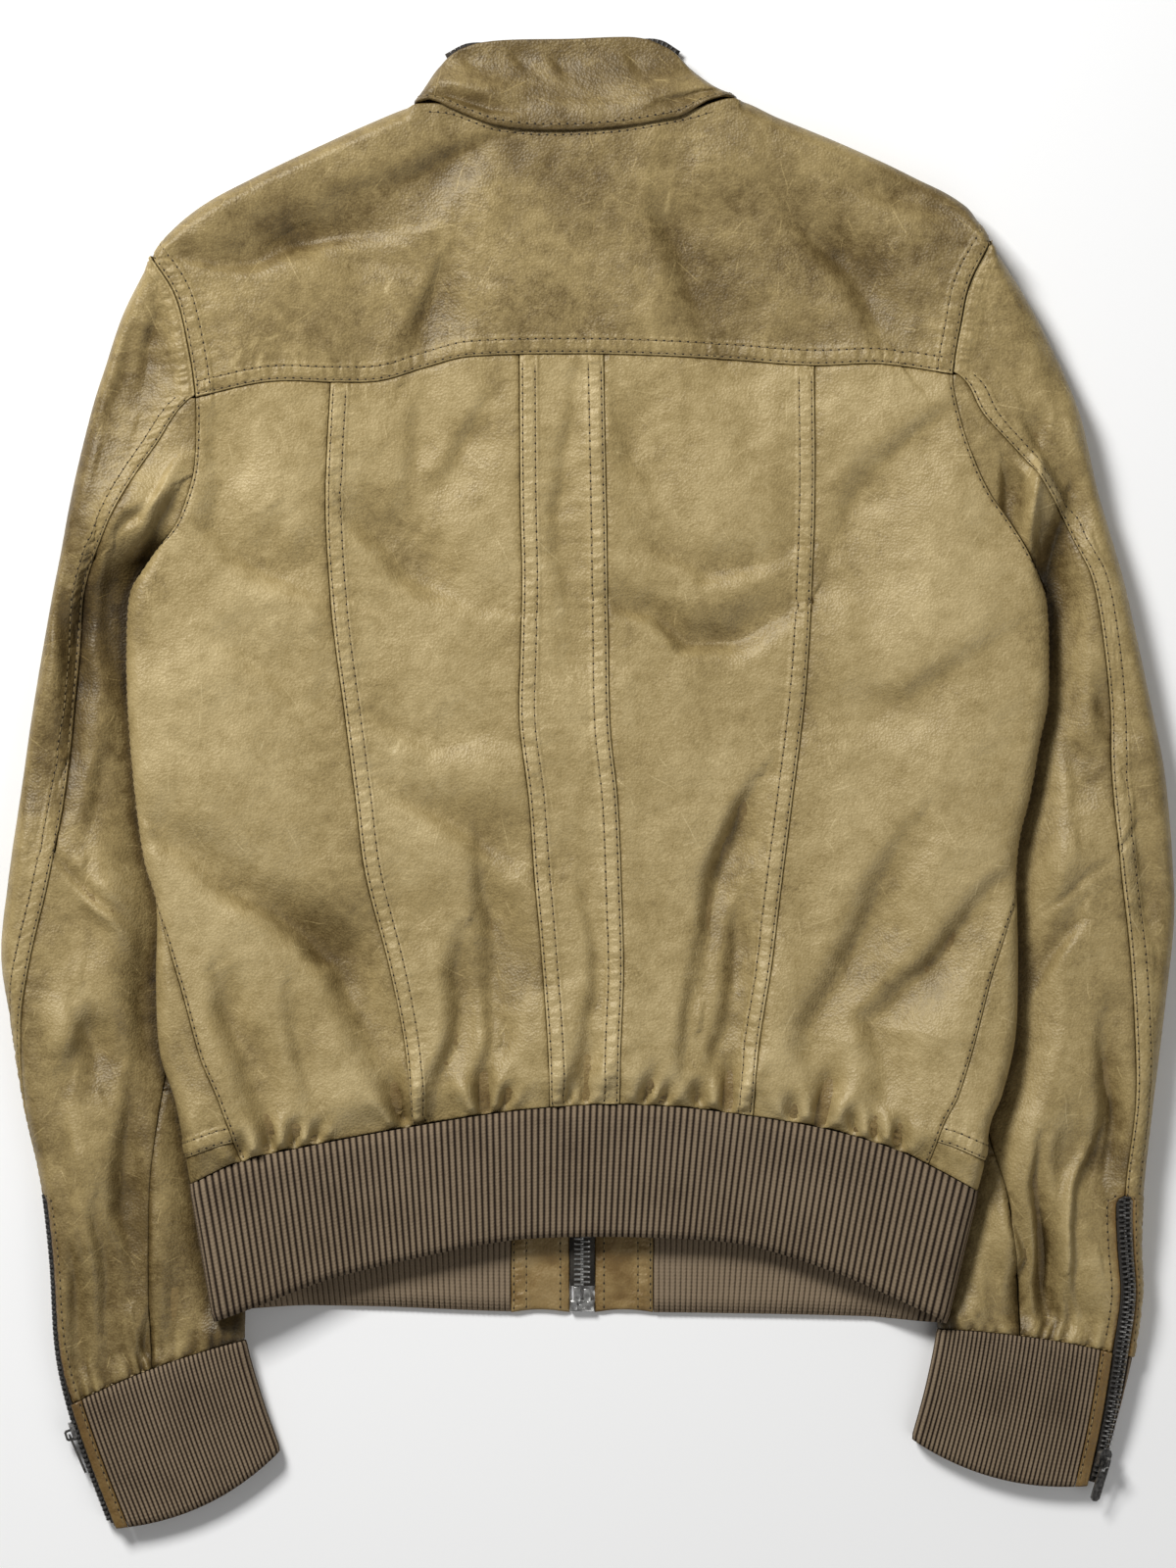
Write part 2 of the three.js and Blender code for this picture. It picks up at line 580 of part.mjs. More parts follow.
// Columns at every ridge and valley where a stretch is ribbed, and few where it is plain
const ribColumns = (ribbed) => ribCounts.flatMap((count, k) => {
  const plain = count > 10 ? Math.round(count / 5) : count;
  return steps(k, k + 1, ribbed[k] ? count * 2 : plain).slice(k ? 1 : 0);
});
const ridgeAt = (s) => {
  const k = Math.min(Math.floor(s), 4);
  return Math.round((s - k) * ribCounts[k] * 2) % 2;
};
add('hem_rib', wall({
  point: hemPoint,
  columns: ribColumns([false, true, true, true, false]),
  rows: [0, 1],
  thickness: KNIT,
  looks: [2.5, 0.5, 1],
  raise: (s) => (s > 1 && s < 4 ? KNIT_RIDGE * ridgeAt(s) : 0),
  innerColumns: ribColumns([true, false, false, false, true]),
  innerRaise: (s) => (s < 0.97 || s > 4.03 ? KNIT_RIDGE * ridgeAt(s) : 0),
}), BROWN_KNIT);

// Leather ends of the hem beside the zip
function hemTab(name, from, to) {
  const thickness = KNIT + KNIT_RIDGE;
  const point = (u, v) => {
    const foot = FRONT_HEM_Y - 1 + 1.5 * Math.sin(u * Math.PI);
    return new THREE.Vector3(mix(from, to, u), mix(foot, FRONT_SEAM_Y - SEAM, v), thickness);
  };
  const columns = steps(0, 1, 6);
  add(name, wall({ point, columns, rows: [0, 1], thickness, looks: [0.5, 0.5, 1] }), TAN_DARK);
}
hemTab('hem_tab_left', tabLeft + SEAM / 2, ZIP_X - ZIP_GAP / 2);
hemTab('hem_tab_right', ZIP_X + ZIP_GAP / 2, tabRight - SEAM / 2);

// Collar: one band round the neck, over the yoke's edge, its front ends spread open above the zip
const collarEdgeLeft = track([[0, -89], [0.12, -87], [0.7, -80], [0.88, -77], [1, -73]]);
const collarEdgeRight = track([[0, 76], [0.3, 70], [0.7, 60.5], [0.88, 54.5], [1, 47.5]]);
const collarTop = track([
  [-90, 363], [-76, 368], [-70, 372], [-65, 374.8], [-55, 378], [-40, 379.5], [-10, 380], [20, 381],
  [30, 379.8], [36, 377.5], [44, 373.5], [53, 367], [76, 358],
]);
const collarFoot = (x) => {
  const lap = smooth(-82, -66, x) * smooth(62, 46, x);
  return shoulder(clamp(x, -80, 75)) + mix(1.8, -COLLAR_LAP, lap);
};
const collarPoint = bandPoint({
  left: collarEdgeLeft,
  right: collarEdgeRight,
  back: [collarFoot, collarTop],
  fore: [(x) => frontNeck(x) + FRONT_NECK_GAP, seamed(collarTop, -2)],
  top: (x, y, v) => mix(backHeight(x, shoulder(x)) + LEATHER + 0.9, COLLAR_HEIGHT, smooth(0.1, 0.9, v)),
  under: frontHeight,
  roll: COLLAR_ROLL,
  openLeft: (v) => mix(ZIP_X - ZIP_GAP / 2, -48, v),
  openRight: (v) => mix(ZIP_X + ZIP_GAP / 2, 24, v),
});
const collarColumns = [
  ...steps(0, 1, 4), ...steps(1, 2, 5).slice(1), ...steps(2, 3, 18).slice(1), ...steps(3, 4, 5).slice(1),
  ...steps(4, 5, 4).slice(1),
];
add('collar', wall({
  point: collarPoint,
  columns: collarColumns,
  rows: [0, 0.12, 0.4, 0.7, 0.88, 1],
  thickness: LEATHER,
  looks: [2.5, 0.5, 1],
}), TAN);

// Sleeves. Stations from the shoulder tip to the end of the cuff: outer edge x and y, inner edge y
const LEFT_STATIONS = [
  [-225, 267, 262.5], [-237, 240, 240], [-246.5, 212, 212], [-252, 195, 196], [-258, 172, 172],
  [-264, 145, 150], [-269, 118, 129], [-274.5, 90, 106], [-283, 40, 55], [-290, -8, 0], [-296, -50, -50],
  [-299.5, -88, -95], [-294, -125, -138], [-287, -168, -180], [-279, -205, -218], [-274.5, -245, -248],
  [-272, -288, -270], [-266, -318, -284], [-256, -349, -312], [-244, -380.5, -341],
];
const RIGHT_STATIONS = [
  [207.5, 273.5, 271], [222, 250, 247], [235, 226, 226], [244, 207, 208], [252, 185, 187], [260, 150, 157],
  [268.5, 121, 120.5], [275, 97, 98], [287.5, 40, 50], [294.5, 5, 0], [298.5, -40, -50], [299.3, -70, -95],
  [294.5, -115, -140], [289, -160, -180], [284, -205, -215], [282.5, -235, -245], [283, -262, -268],
  [278.3, -293, -278.5], [270.3, -326, -307], [261, -358, -335],
];
const sleeveHeight = track([
  [0, 25], [6, 24], [7, 23], [10, 22], [13, 20.5], [14, 20], [16, 16.5], [17, 13], [18, 11], [19, 10],
]);
const cuffBow = track([[15, 0], [17, -3], [18, 3], [19, 9]]);
const stationTrack = (stations, k) => track(stations.map((station, t) => [t, station[k]]));

// Seams along each sleeve by station: the back seam from the outer edge over the top, the inseam from
// the inner edge, and the middle of the cuff's zip from the outer edge
const LEFT_ARM = {
  ...LEFT,
  outerX: stationTrack(LEFT_STATIONS, 0),
  outerY: stationTrack(LEFT_STATIONS, 1),
  innerY: stationTrack(LEFT_STATIONS, 2),
  folds: LEFT_SLEEVE_FOLDS,
  backSeam: track([
    [2.6, 70], [3, 54.5], [4, 43], [5, 33], [6, 26], [7, 23.6], [8, 27], [9, 28.6], [10, 26.6], [11, 21],
    [12, 10], [13, 2], [14, 1], [19, 1],
  ]),
  inseam: track([[7, 0], [8, 10], [9, 16], [10, 22], [11, 28], [12, 37], [13, 44], [14, 49], [17, 52]]),
  slider: 17.45,
};
const RIGHT_ARM = {
  ...RIGHT,
  outerX: stationTrack(RIGHT_STATIONS, 0),
  outerY: stationTrack(RIGHT_STATIONS, 1),
  innerY: stationTrack(RIGHT_STATIONS, 2),
  folds: RIGHT_SLEEVE_FOLDS,
  backSeam: track([
    [2.6, 78], [3, 60.5], [4, 55], [5, 34], [6, 25], [7, 22], [8, 27], [9, 33], [10, 32.6], [11, 30],
    [12, 22], [13, 15.6], [14, 15.5], [15, 13.5], [16, 11.5], [17, 9.5], [18, 6.5], [19, 4],
  ]),
  inseam: track([
    [7, 0], [8, 8], [9, 12], [10, 16], [11, 20], [12, 24], [13, 28], [14, 39], [15, 43], [17, 44],
  ]),
  slider: 18.6,
};

// The shape of a sleeve at a station
function section(arm, t) {
  const innerY = arm.innerY(t);
  const innerX = t <= UNDERARM ? arm.side(innerY) + arm.sign * SEAM : arm.tuck(innerY) + arm.sign * SEAM;
  const outer = new THREE.Vector2(arm.outerX(t), arm.outerY(t));
  const across = new THREE.Vector2(innerX, innerY).sub(outer);
  const width = across.length();
  across.normalize();
  const closed = smooth(UNDERARM - 0.8, UNDERARM + 0.2, t);
  const outerRoll = Math.min(mix(SLEEVE_ROLL, 5, smooth(15, 17.5, t)), width * 0.42);
  const tuckedRoll = mix(OPEN_ROLL, TUCKED_ROLL, smooth(UNDERARM - 0.8, UNDERARM + 1, t));
  const innerRoll = Math.min(tuckedRoll, width * 0.1);
  const length = width - outerRoll - innerRoll + quarter(outerRoll) + quarter(innerRoll);
  return { outer, across, width, closed, outerRoll, innerRoll, length };
}

// The top of a sleeve: full where it is free, thin where it is tucked under the body
function sleeveTop(arm, t, x, y) {
  const tucked = smooth(arm.armholeEnd + 4, arm.armholeEnd - 18, y) * smooth(-300, -282, y);
  const free = smooth(-1, 25, arm.sign * (x - arm.side(y)));
  const shown = mix(1, free, tucked);
  const height = mix(TUCKED_HEIGHT, sleeveHeight(t), Math.max(shown, smooth(16.4, 17, t)));
  return height + total(arm.folds, x, y) * shown;
}

// The outer face of a sleeve by station and by distance round it from its outer edge, above zero over
// the top. Below zero it runs along the underside and on up over the inner edge.
function sleevePoint(arm, t, around) {
  const { outer, across, width, closed, outerRoll, innerRoll, length } = section(arm, t);
  const onTop = around >= 0 || around < -length;
  let along = Math.abs(around);
  if (around < -length) along = 2 * length + around;
  let inwards = along - quarter(outerRoll) + outerRoll;
  let rise = 1;
  if (along < quarter(outerRoll)) {
    inwards = outerRoll * (1 - Math.cos(along / outerRoll));
    rise = Math.sin(along / outerRoll);
  } else if (along > length - quarter(innerRoll)) {
    const angle = (length - along) / innerRoll;
    inwards = width - innerRoll * (1 - Math.cos(angle));
    rise = mix(1, Math.sin(angle), closed);
  }
  const share = inwards / width;
  const bow = onTop ? cuffBow(t) * 4 * share * (1 - share) : 0;
  const x = outer.x + across.x * inwards - arm.sign * across.y * bow;
  const y = outer.y + across.y * inwards + arm.sign * across.x * bow;
  const middle = sleeveTop(arm, t, x, y) / 2;
  return new THREE.Vector3(x, y, middle + (onTop ? middle : -middle) * rise);
}

// The seam opens into the zip near the cuff
const zipOpening = (t) => mix(SEAM / 2, ZIP_HALF + SEAM, smooth(ZIP_TOP - 0.15, ZIP_TOP + 0.15, t));

// Interpolates along a list of numbers, by place in the list
const along = (list, u) => {
  const k = Math.min(Math.floor(u), list.length - 2);
  return mix(list[k], list[k + 1], u - k);
};

function upperSleeve(name, arm, rows) {
  const stops = (t) => {
    const { outerRoll, innerRoll, length, closed } = section(arm, t);
    const from = Math.min(length, arm.backSeam(t) - zipOpening(t));
    const to = -length - arm.inseam(t) + SEAM / 2;
    const round = quarter(outerRoll);
    const outside = [from, mix(from, round, 0.5), ...steps(round, -round, 5)];
    const bend = quarter(innerRoll);
    const shaped = [
      mix(-round, -length, 0.45), -length + bend, -length + bend * 0.4, -length - bend * 0.2, -length - bend,
      mix(-length - bend, to, 0.5), to,
    ];
    const even = steps(-round, to, 7).slice(1);
    const settled = closed * smooth(bend, 3 * bend, arm.inseam(t));
    const inside = even.map((value, k) => mix(value, shaped[k], settled));
    return [...(from < round ? steps(from, -round, 7) : outside), ...inside];
  };
  const point = (u, t) => sleevePoint(arm, t, along(stops(t), u));
  const columns = Array.from(stops(10), (_, k) => k);
  add(name, wall({ point, columns, rows, thickness: LEATHER, looks: [8, 10, -1] }), TAN);
}

function underSleeve(name, arm, rows) {
  const point = (u, t) => {
    const outerEnd = arm.backSeam(t) + zipOpening(t);
    const innerEnd = section(arm, t).length - arm.inseam(t) - (t > UNDERARM ? SEAM / 2 : 0);
    return sleevePoint(arm, t, mix(outerEnd, Math.max(innerEnd, outerEnd + 1), u));
  };
  add(name, wall({ point, columns: steps(0, 1, 8), rows, thickness: LEATHER, looks: [0.3, 10, 1] }), TAN);
}

// Cuffs: ridges stand on the top and over the inner edge. The underside is plain and flat.
function cuff(name, arm) {
  const from = (t) => arm.backSeam(t) + ZIP_HALF + BINDING + 2 * SEAM;
  const to = (t) => -(ZIP_HALF + SEAM) + arm.backSeam(t);
  const stops = (t) => {
    const { length, innerRoll } = section(arm, t);
    const bend = quarter(innerRoll);
    return [from(t), length - bend, length + bend, 2 * length + to(t)];
  };
  const point = (u, t) => {
    const { length } = section(arm, t);
    const distance = along(stops(t), u);
    return sleevePoint(arm, t, distance > length ? distance - 2 * length : distance);
  };
  const { length } = section(arm, 18);
  const ribs = Math.round((length - from(18)) / CUFF_RIB_PITCH);
  const columns = [...steps(0, 1, ribs * 2), ...steps(1, 2, 10).slice(1), ...steps(2, 3, 6).slice(1)];
  const ridge = (u) => {
    if (u <= 1) return Math.round(u * ribs * 2) % 2;
    return u < 1.55 ? Math.round((u - 1) * 10) % 2 : 0;
  };
  add(name, wall({
    point,
    columns,
    rows: [CUFF_SEAM + CUFF_GAP, 18, CUFF_END],
    thickness: KNIT,
    looks: [0.5, 18, 1],
    raise: (u) => KNIT_RIDGE * ridge(u),
    innerColumns: [...steps(0, 1, 8), ...steps(1, 2, 5).slice(1), ...steps(2, 3, 6).slice(1)],
  }), BROWN_KNIT);
}

// A strip along the zip, from one distance beside its middle to another
function zipStrip(name, arm, rows, offsets, look, raise, thickness) {
  const point = (u, t) => sleevePoint(arm, t, arm.backSeam(t) + u);
  const looks = [offsets[offsets.length - 1], 18, 1];
  add(name, wall({ point, columns: offsets, rows, thickness, looks, raise }), look);
}

function sleeve(side, arm, armholeRows, yokeCorner) {
  const high = armholeRows.filter((y) => y > arm.innerY(UNDERARM) + 4).reverse();
  const rows = [
    0, ...high.map((y) => solve(arm.innerY, y, 0, UNDERARM)).filter((t) => t > 0.15), UNDERARM,
    7.4, 8, 8.8, 9.6, 10.4, 11, 11.6, 12.3, 13, ZIP_TOP - 0.15, ZIP_TOP + 0.15, 14.8, 15.6, 16.3,
    CUFF_SEAM - CUFF_GAP,
  ];
  const corner = solve(arm.innerY, yokeCorner, 0, UNDERARM) - 0.01;
  upperSleeve(`sleeve_${side}_upper`, arm, rows);
  underSleeve(`sleeve_${side}_under`, arm, rows.filter((t) => t > corner));
  cuff(`cuff_rib_${side}`, arm);
  const bindingOffsets = [0, 0.5, 1].map((k) => ZIP_HALF + SEAM + k * BINDING);
  const cuffRows = [CUFF_SEAM + CUFF_GAP, 17.7, 18.4, CUFF_END];
  zipStrip(`cuff_binding_${side}`, arm, cuffRows, bindingOffsets, TAN_DARK, () => KNIT_RIDGE, KNIT);
  const zipRows = [ZIP_TOP + 0.2, 14.8, 15.5, 16.2, 17, 17.7, 18.4, CUFF_END - 0.08];
  const zipOffsets = [-ZIP_HALF, -chainHalf - 0.2, -chainHalf, chainHalf, chainHalf + 0.2, ZIP_HALF];
  const chainRise = (u) => (Math.abs(u) <= chainHalf ? CHAIN_PROUD : -TAPE_SUNK);
  zipStrip(`sleeve_zip_${side}`, arm, zipRows, zipOffsets, TAPE, chainRise, 1.7);
}
sleeve('left', LEFT_ARM, leftRows, leftPanelRows[leftPanelRows.length - 1]);
sleeve('right', RIGHT_ARM, rightRows, rightPanelRows[rightPanelRows.length - 1]);

// Sliders and pull tabs. Their own frame has its origin on the hinge, X across the chain, Y along it to
// the tip of the pull tab, and Z out of the cloth.
const outline = (points) => new THREE.Shape(points.map(([x, y]) => new THREE.Vector2(x, y)));
const extrude = (shape, depth) => new THREE.ExtrudeGeometry(shape, { depth, bevelEnabled: false });

function solidOf(geometry) {
  const bare = new THREE.BufferGeometry();
  bare.setAttribute('position', geometry.getAttribute('position'));
  const merged = mergeVertices(bare, 1e-4);
  return new wasm.Manifold(new wasm.Mesh({
    numProp: 3,
    vertProperties: new Float32Array(merged.getAttribute('position').array),
    triVerts: new Uint32Array(merged.index.array),
  }));
}

function joined(...geometries) {
  const mesh = wasm.Manifold.union(geometries.map(solidOf)).getMesh();
  const geometry = new THREE.BufferGeometry();
  geometry.setAttribute('position', new THREE.Float32BufferAttribute(mesh.vertProperties, 3));
  geometry.setIndex([...mesh.triVerts]);
  geometry.computeVertexNormals();
  return geometry;
}

function sliderGeometry() {
  const { back, front: nose, wide, narrow, thick } = SLIDER;
  const { reach, opening, clear, bar, width } = BRIDGE;
  const plate = extrude(outline([
    [-wide / 2, back + 2], [-wide / 2 + 1.5, back], [wide / 2 - 1.5, back], [wide / 2, back + 2],
    [narrow / 2, nose - 1], [narrow / 2 - 1, nose], [-narrow / 2 + 1, nose], [-narrow / 2, nose - 1],
  ]), thick);
  plate.translate(0, 0, -clear - thick);
  const foot = -clear - 0.3;
  const arch = extrude(outline([
    [-reach, foot], [-opening, foot], [-opening, clear - 0.4], [-opening + 0.4, clear],
    [opening - 0.4, clear], [opening, clear - 0.4], [opening, foot], [reach, foot],
    [reach, clear + bar - 1], [reach - 1, clear + bar], [1 - reach, clear + bar], [-reach, clear + bar - 1],
  ]), width);
  arch.translate(0, 0, -width / 2);
  arch.applyMatrix4(new THREE.Matrix4().makeBasis(
    new THREE.Vector3(0, 1, 0), new THREE.Vector3(0, 0, 1), new THREE.Vector3(1, 0, 0),
  ));
  return joined(plate, arch);
}

function pullGeometry() {
  const { length, width, thick, eyeWidth, eyeEnd, rim, droop } = PULL;
  const side = width / 2;
  const shape = outline([
    [-side, -rim], [side, -rim], [side, length - 1.5], [side - 1.5, length], [1.5 - side, length],
    [-side, length - 1.5],
  ]);
  shape.holes.push(outline([
    [-eyeWidth / 2, rim], [-eyeWidth / 2, eyeEnd], [eyeWidth / 2, eyeEnd], [eyeWidth / 2, rim],
  ]));
  const geometry = extrude(shape, thick);
  geometry.translate(0, 0, -thick / 2);
  geometry.rotateX(THREE.MathUtils.degToRad(-droop));
  return geometry;
}

// Puts a slider and its pull tab on a chain, at a point of its face
function addSlider(name, face, outwards, towardsTip) {
  const rise = CHAIN_CLEARANCE + SLIDER.thick + BRIDGE.clear;
  const hinge = face.clone().addScaledVector(outwards, rise);
  const across = towardsTip.clone().cross(outwards).normalize();
  const ahead = outwards.clone().cross(across);
  const frame = new THREE.Matrix4().makeBasis(across, ahead, outwards).setPosition(hinge);
  add(`${name}_slider`, sliderGeometry(), GUNMETAL).applyMatrix4(frame);
  add(`${name}_pull`, pullGeometry(), GUNMETAL).applyMatrix4(frame);
}

function sleeveSlider(side, arm) {
  const t = arm.slider;
  const at = (station, offset) => sleevePoint(arm, station, arm.backSeam(station) + offset);
  const towardsTip = at(t + 0.1, 0).sub(at(t - 0.1, 0)).normalize();
  const across = at(t, 0.5).sub(at(t, -0.5)).normalize();
  const outwards = towardsTip.clone().cross(across).multiplyScalar(-arm.sign).normalize();
  const face = at(t, chainHalf).lerp(at(t, -chainHalf), 0.5).addScaledVector(outwards, CHAIN_PROUD);
  addSlider(`sleeve_${side}`, face, outwards, towardsTip);
}
sleeveSlider('left', LEFT_ARM);
sleeveSlider('right', RIGHT_ARM);

// Front zip: a closed chain up to its slider, then its two halves along the open ends of the collar
const chainRaise = (half) => (u) => (Math.abs(u) <= half ? (CHAIN_THICK - TAPE_THICK) / 2 : 0);
const zipHeight = (x, y) => ZIP_Z + frontHeight(x, y) - TAPE_THICK / 2;
add('front_zip', wall({
  point: (u, y) => new THREE.Vector3(ZIP_X + u, y, zipHeight(ZIP_X, y)),
  columns: [-TAPE_WIDTH / 2, -chainHalf - 0.2, -chainHalf, chainHalf, chainHalf + 0.2, TAPE_WIDTH / 2],
  rows: [-257, -100, 100, 246, 258, 267, 276, 288, 304],
  thickness: TAPE_THICK,
  looks: [0, 0, -1],
  raise: chainRaise(chainHalf),
  innerRaise: chainRaise(chainHalf),
}), TAPE);
const box = new THREE.BoxGeometry(ZIP_BOX.width, ZIP_BOX.length, ZIP_BOX.thick);
box.translate(ZIP_X, -257.4 - ZIP_BOX.length / 2, ZIP_Z);
add('front_zip_box', box, GUNMETAL);
const sliderFace = zipHeight(ZIP_X, SLIDER_Y) - (CHAIN_THICK - TAPE_THICK) / 2;
const sliderPlace = new THREE.Vector3(ZIP_X, SLIDER_Y, sliderFace);
addSlider('front', sliderPlace, new THREE.Vector3(0, 0, -1), new THREE.Vector3(0, -1, 0));

// Half a chain with its tape, along a path in plan
function halfChain(name, points) {
  const path = new THREE.SplineCurve(points.map(([x, y]) => new THREE.Vector2(x, y)));
  const point = (u, v) => {
    const at = path.getPoint(v);
    const tangent = path.getTangent(v);
    const x = at.x + tangent.y * u;
    const y = at.y - tangent.x * u;
    return new THREE.Vector3(x, y, zipHeight(at.x, Math.min(at.y, 340)));
  };
  const columns = [-chainHalf / 2, chainHalf / 2];
  add(name, wall({ point, columns, rows: steps(0, 1, 18), thickness: 1.6, looks: [0, 0.5, -1] }), GUNMETAL);
}
halfChain('collar_zip_left', [
  [-5.3, 305], [-5.6, 314], [-9, 324], [-41, 372], [-50, 378.2], [-62, 378.5], [-73, 373],
]);
halfChain('collar_zip_right', [
  [-0.7, 305], [-0.7, 314], [1.5, 323], [19, 373], [26, 380], [37, 380.2], [47, 374.5],
]);

// The origin goes under the middle of the outline
const middle = new THREE.Box3().setFromObject(jacket, true).getCenter(new THREE.Vector3());
jacket.position.set(-middle.x, -middle.y, 0);

export default jacket;
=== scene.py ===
"""Looks of a worn leather bomber jacket that lies on its front, back upwards.

Shapes are worked out in millimetres in the plan of the jacket and made in metres in the row frame.
Each cut piece is a thin shell on the form of its solid, with finer folds, seams, topstitching and knit.
"""
from types import SimpleNamespace

import bpy
import numpy as np
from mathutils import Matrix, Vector


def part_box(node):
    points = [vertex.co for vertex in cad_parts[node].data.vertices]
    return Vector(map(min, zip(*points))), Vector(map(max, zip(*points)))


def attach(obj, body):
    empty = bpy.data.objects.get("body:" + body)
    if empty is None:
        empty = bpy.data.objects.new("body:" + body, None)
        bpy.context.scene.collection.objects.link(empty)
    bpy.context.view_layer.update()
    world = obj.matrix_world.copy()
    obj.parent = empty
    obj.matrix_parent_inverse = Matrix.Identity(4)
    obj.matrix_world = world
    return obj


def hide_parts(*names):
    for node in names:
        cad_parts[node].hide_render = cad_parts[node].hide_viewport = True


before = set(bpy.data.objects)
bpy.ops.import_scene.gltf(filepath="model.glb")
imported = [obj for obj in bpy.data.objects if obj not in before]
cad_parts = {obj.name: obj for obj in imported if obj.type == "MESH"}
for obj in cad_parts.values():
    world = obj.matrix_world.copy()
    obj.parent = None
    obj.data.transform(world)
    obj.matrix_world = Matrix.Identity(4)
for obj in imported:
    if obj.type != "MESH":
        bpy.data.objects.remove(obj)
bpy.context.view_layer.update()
BODY = "jacket"

# Walls, seams and ribs
LEATHER = 1.6
KNIT = 1.8
KNIT_RIDGE = 0.8
KNIT_INSIDE = 1000
SEAM = 0.3
HEM_RIB_PITCH = 3.2
CUFF_RIB_PITCH = 2.5
HEM_RIB_DEPTH = 65
CUFF_STATION = 33

# Heights and rolled edges
MIDDLE_HEIGHT = 17
SIDE_HEIGHT = 26
NECK_RISE = 5
BLOUSE = 5
TUCKED_HEIGHT = 8.6
TUCK_LIFT = 11.2
COLLAR_HEIGHT = 15
EDGE_ROLL = 8
SHOULDER_ROLL = 9
SLEEVE_ROLL = 9
TUCKED_ROLL = 4.2
COLLAR_ROLL = 6
OPEN_ROLL = 0.6
COLLAR_LAP = 2.5

# Centre front, neck, cuffs and zips
ZIP_X = -3
ZIP_GAP = 13
ZIP_Z = 2.6
ZIP_LIFT = 7
TAB_WIDTH = 30
FRONT_HEM_Y = -269.5
FRONT_SEAM_Y = -204
FRONT_NECK_Y = 317
FRONT_ZIP_LOW = -257
NECK_LEFT = -88
NECK_RIGHT = 75
NECK_TURN = 5
UNDERARM = 7
ZIP_TOP = 14
CUFF_SEAM = 17
CUFF_END = 19
CUFF_GAP = 0.006
ZIP_HALF = 4.2
TAPE_SUNK = 0.8
BINDING = 6
CHAIN_UNDER = 1.1
TAB_LEFT = ZIP_X - ZIP_GAP / 2 - TAB_WIDTH
TAB_RIGHT = ZIP_X + ZIP_GAP / 2 + TAB_WIDTH

# Sewing and teeth
STITCH_PITCH = 4.1
STITCH_ROWS = (1.4, 7.8)
BAND = 9
TOOTH_PITCH = 2.6
TOOTH_REACH = 3.2
FRONT_TOOTH_REACH = 4.1
TRIM_AMBER = 0.6
SOFT_EDGE = 0.0003

# Folds
CREASE_LEAN = 2.6
BACK_DEPTH = 1.9
GATHER_DEPTH = 1.9
SLEEVE_DEPTH = 2.1

# Camera and floor, in metres
CAMERA_HEIGHT = 3.013
FLOOR_SIZE = 6
FLOOR_Z = -0.0005

# The plan's origin in the row frame, from a corner of the left hem tab
tab_low, tab_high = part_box("hem_tab_left")
ORIGIN = np.array([tab_low.x * 1000 - TAB_LEFT - SEAM / 2, tab_high.y * 1000 - FRONT_SEAM_Y + SEAM, 0])


def mix(a, b, t):
    return a + (b - a) * t


def smooth(start, end, x):
    t = np.clip((x - start) / (end - start), 0, 1)
    return t * t * (3 - 2 * t)


def bell(x, width):
    return np.exp(-((x / width) ** 2))


def track(*pairs):
    """A smooth curve through (key, value) pairs with rising keys."""
    keys, values = np.array(pairs, float).T
    slopes = np.empty(len(keys))
    slopes[1:-1] = (values[2:] - values[:-2]) / (keys[2:] - keys[:-2])
    slopes[0] = (values[1] - values[0]) / (keys[1] - keys[0])
    slopes[-1] = (values[-1] - values[-2]) / (keys[-1] - keys[-2])

    def at(key):
        k = np.clip(key, keys[0], keys[-1])
        i = np.clip(np.searchsorted(keys, k) - 1, 0, len(keys) - 2)
        span = keys[i + 1] - keys[i]
        t = (k - keys[i]) / span
        straight = (values[i + 1] - values[i]) / span
        lean = (slopes[i] - straight) * (1 - t) - (slopes[i + 1] - straight) * t
        return mix(values[i], values[i + 1], t) + t * (1 - t) * span * lean

    return at


def offset(curve, distance):
    return lambda key: curve(key) + distance


# Outline of the back: x at a height y
left_side = track(
    (-274, -190.5), (-203.5, -202.5), (-191, -204.5), (-162, -210), (-137, -218), (-100, -220), (-62, -220),
    (-38, -226.5), (5, -232), (47, -235), (80, -235), (98.5, -233), (108, -227.5), (120, -219), (131, -210),
    (144, -204.5), (158, -200.5), (175, -199.2), (197, -199.5), (224, -203.5), (249, -210), (268, -222))
right_side = track(
    (-276, 182.5), (-207, 198.5), (-191.5, 202), (-172, 205), (-159, 210.5), (-130, 217.5), (-95, 219),
    (-50, 218.5), (-28.5, 220), (-6, 225.5), (22, 230.5), (41, 234.5), (66, 235), (85, 234.5), (98.5, 232.5),
    (117.5, 224), (133, 214.5), (150, 203), (173.5, 193), (198, 186.5), (208.5, 185.5), (233.5, 189.5),
    (254.5, 194), (275.5, 204.5))

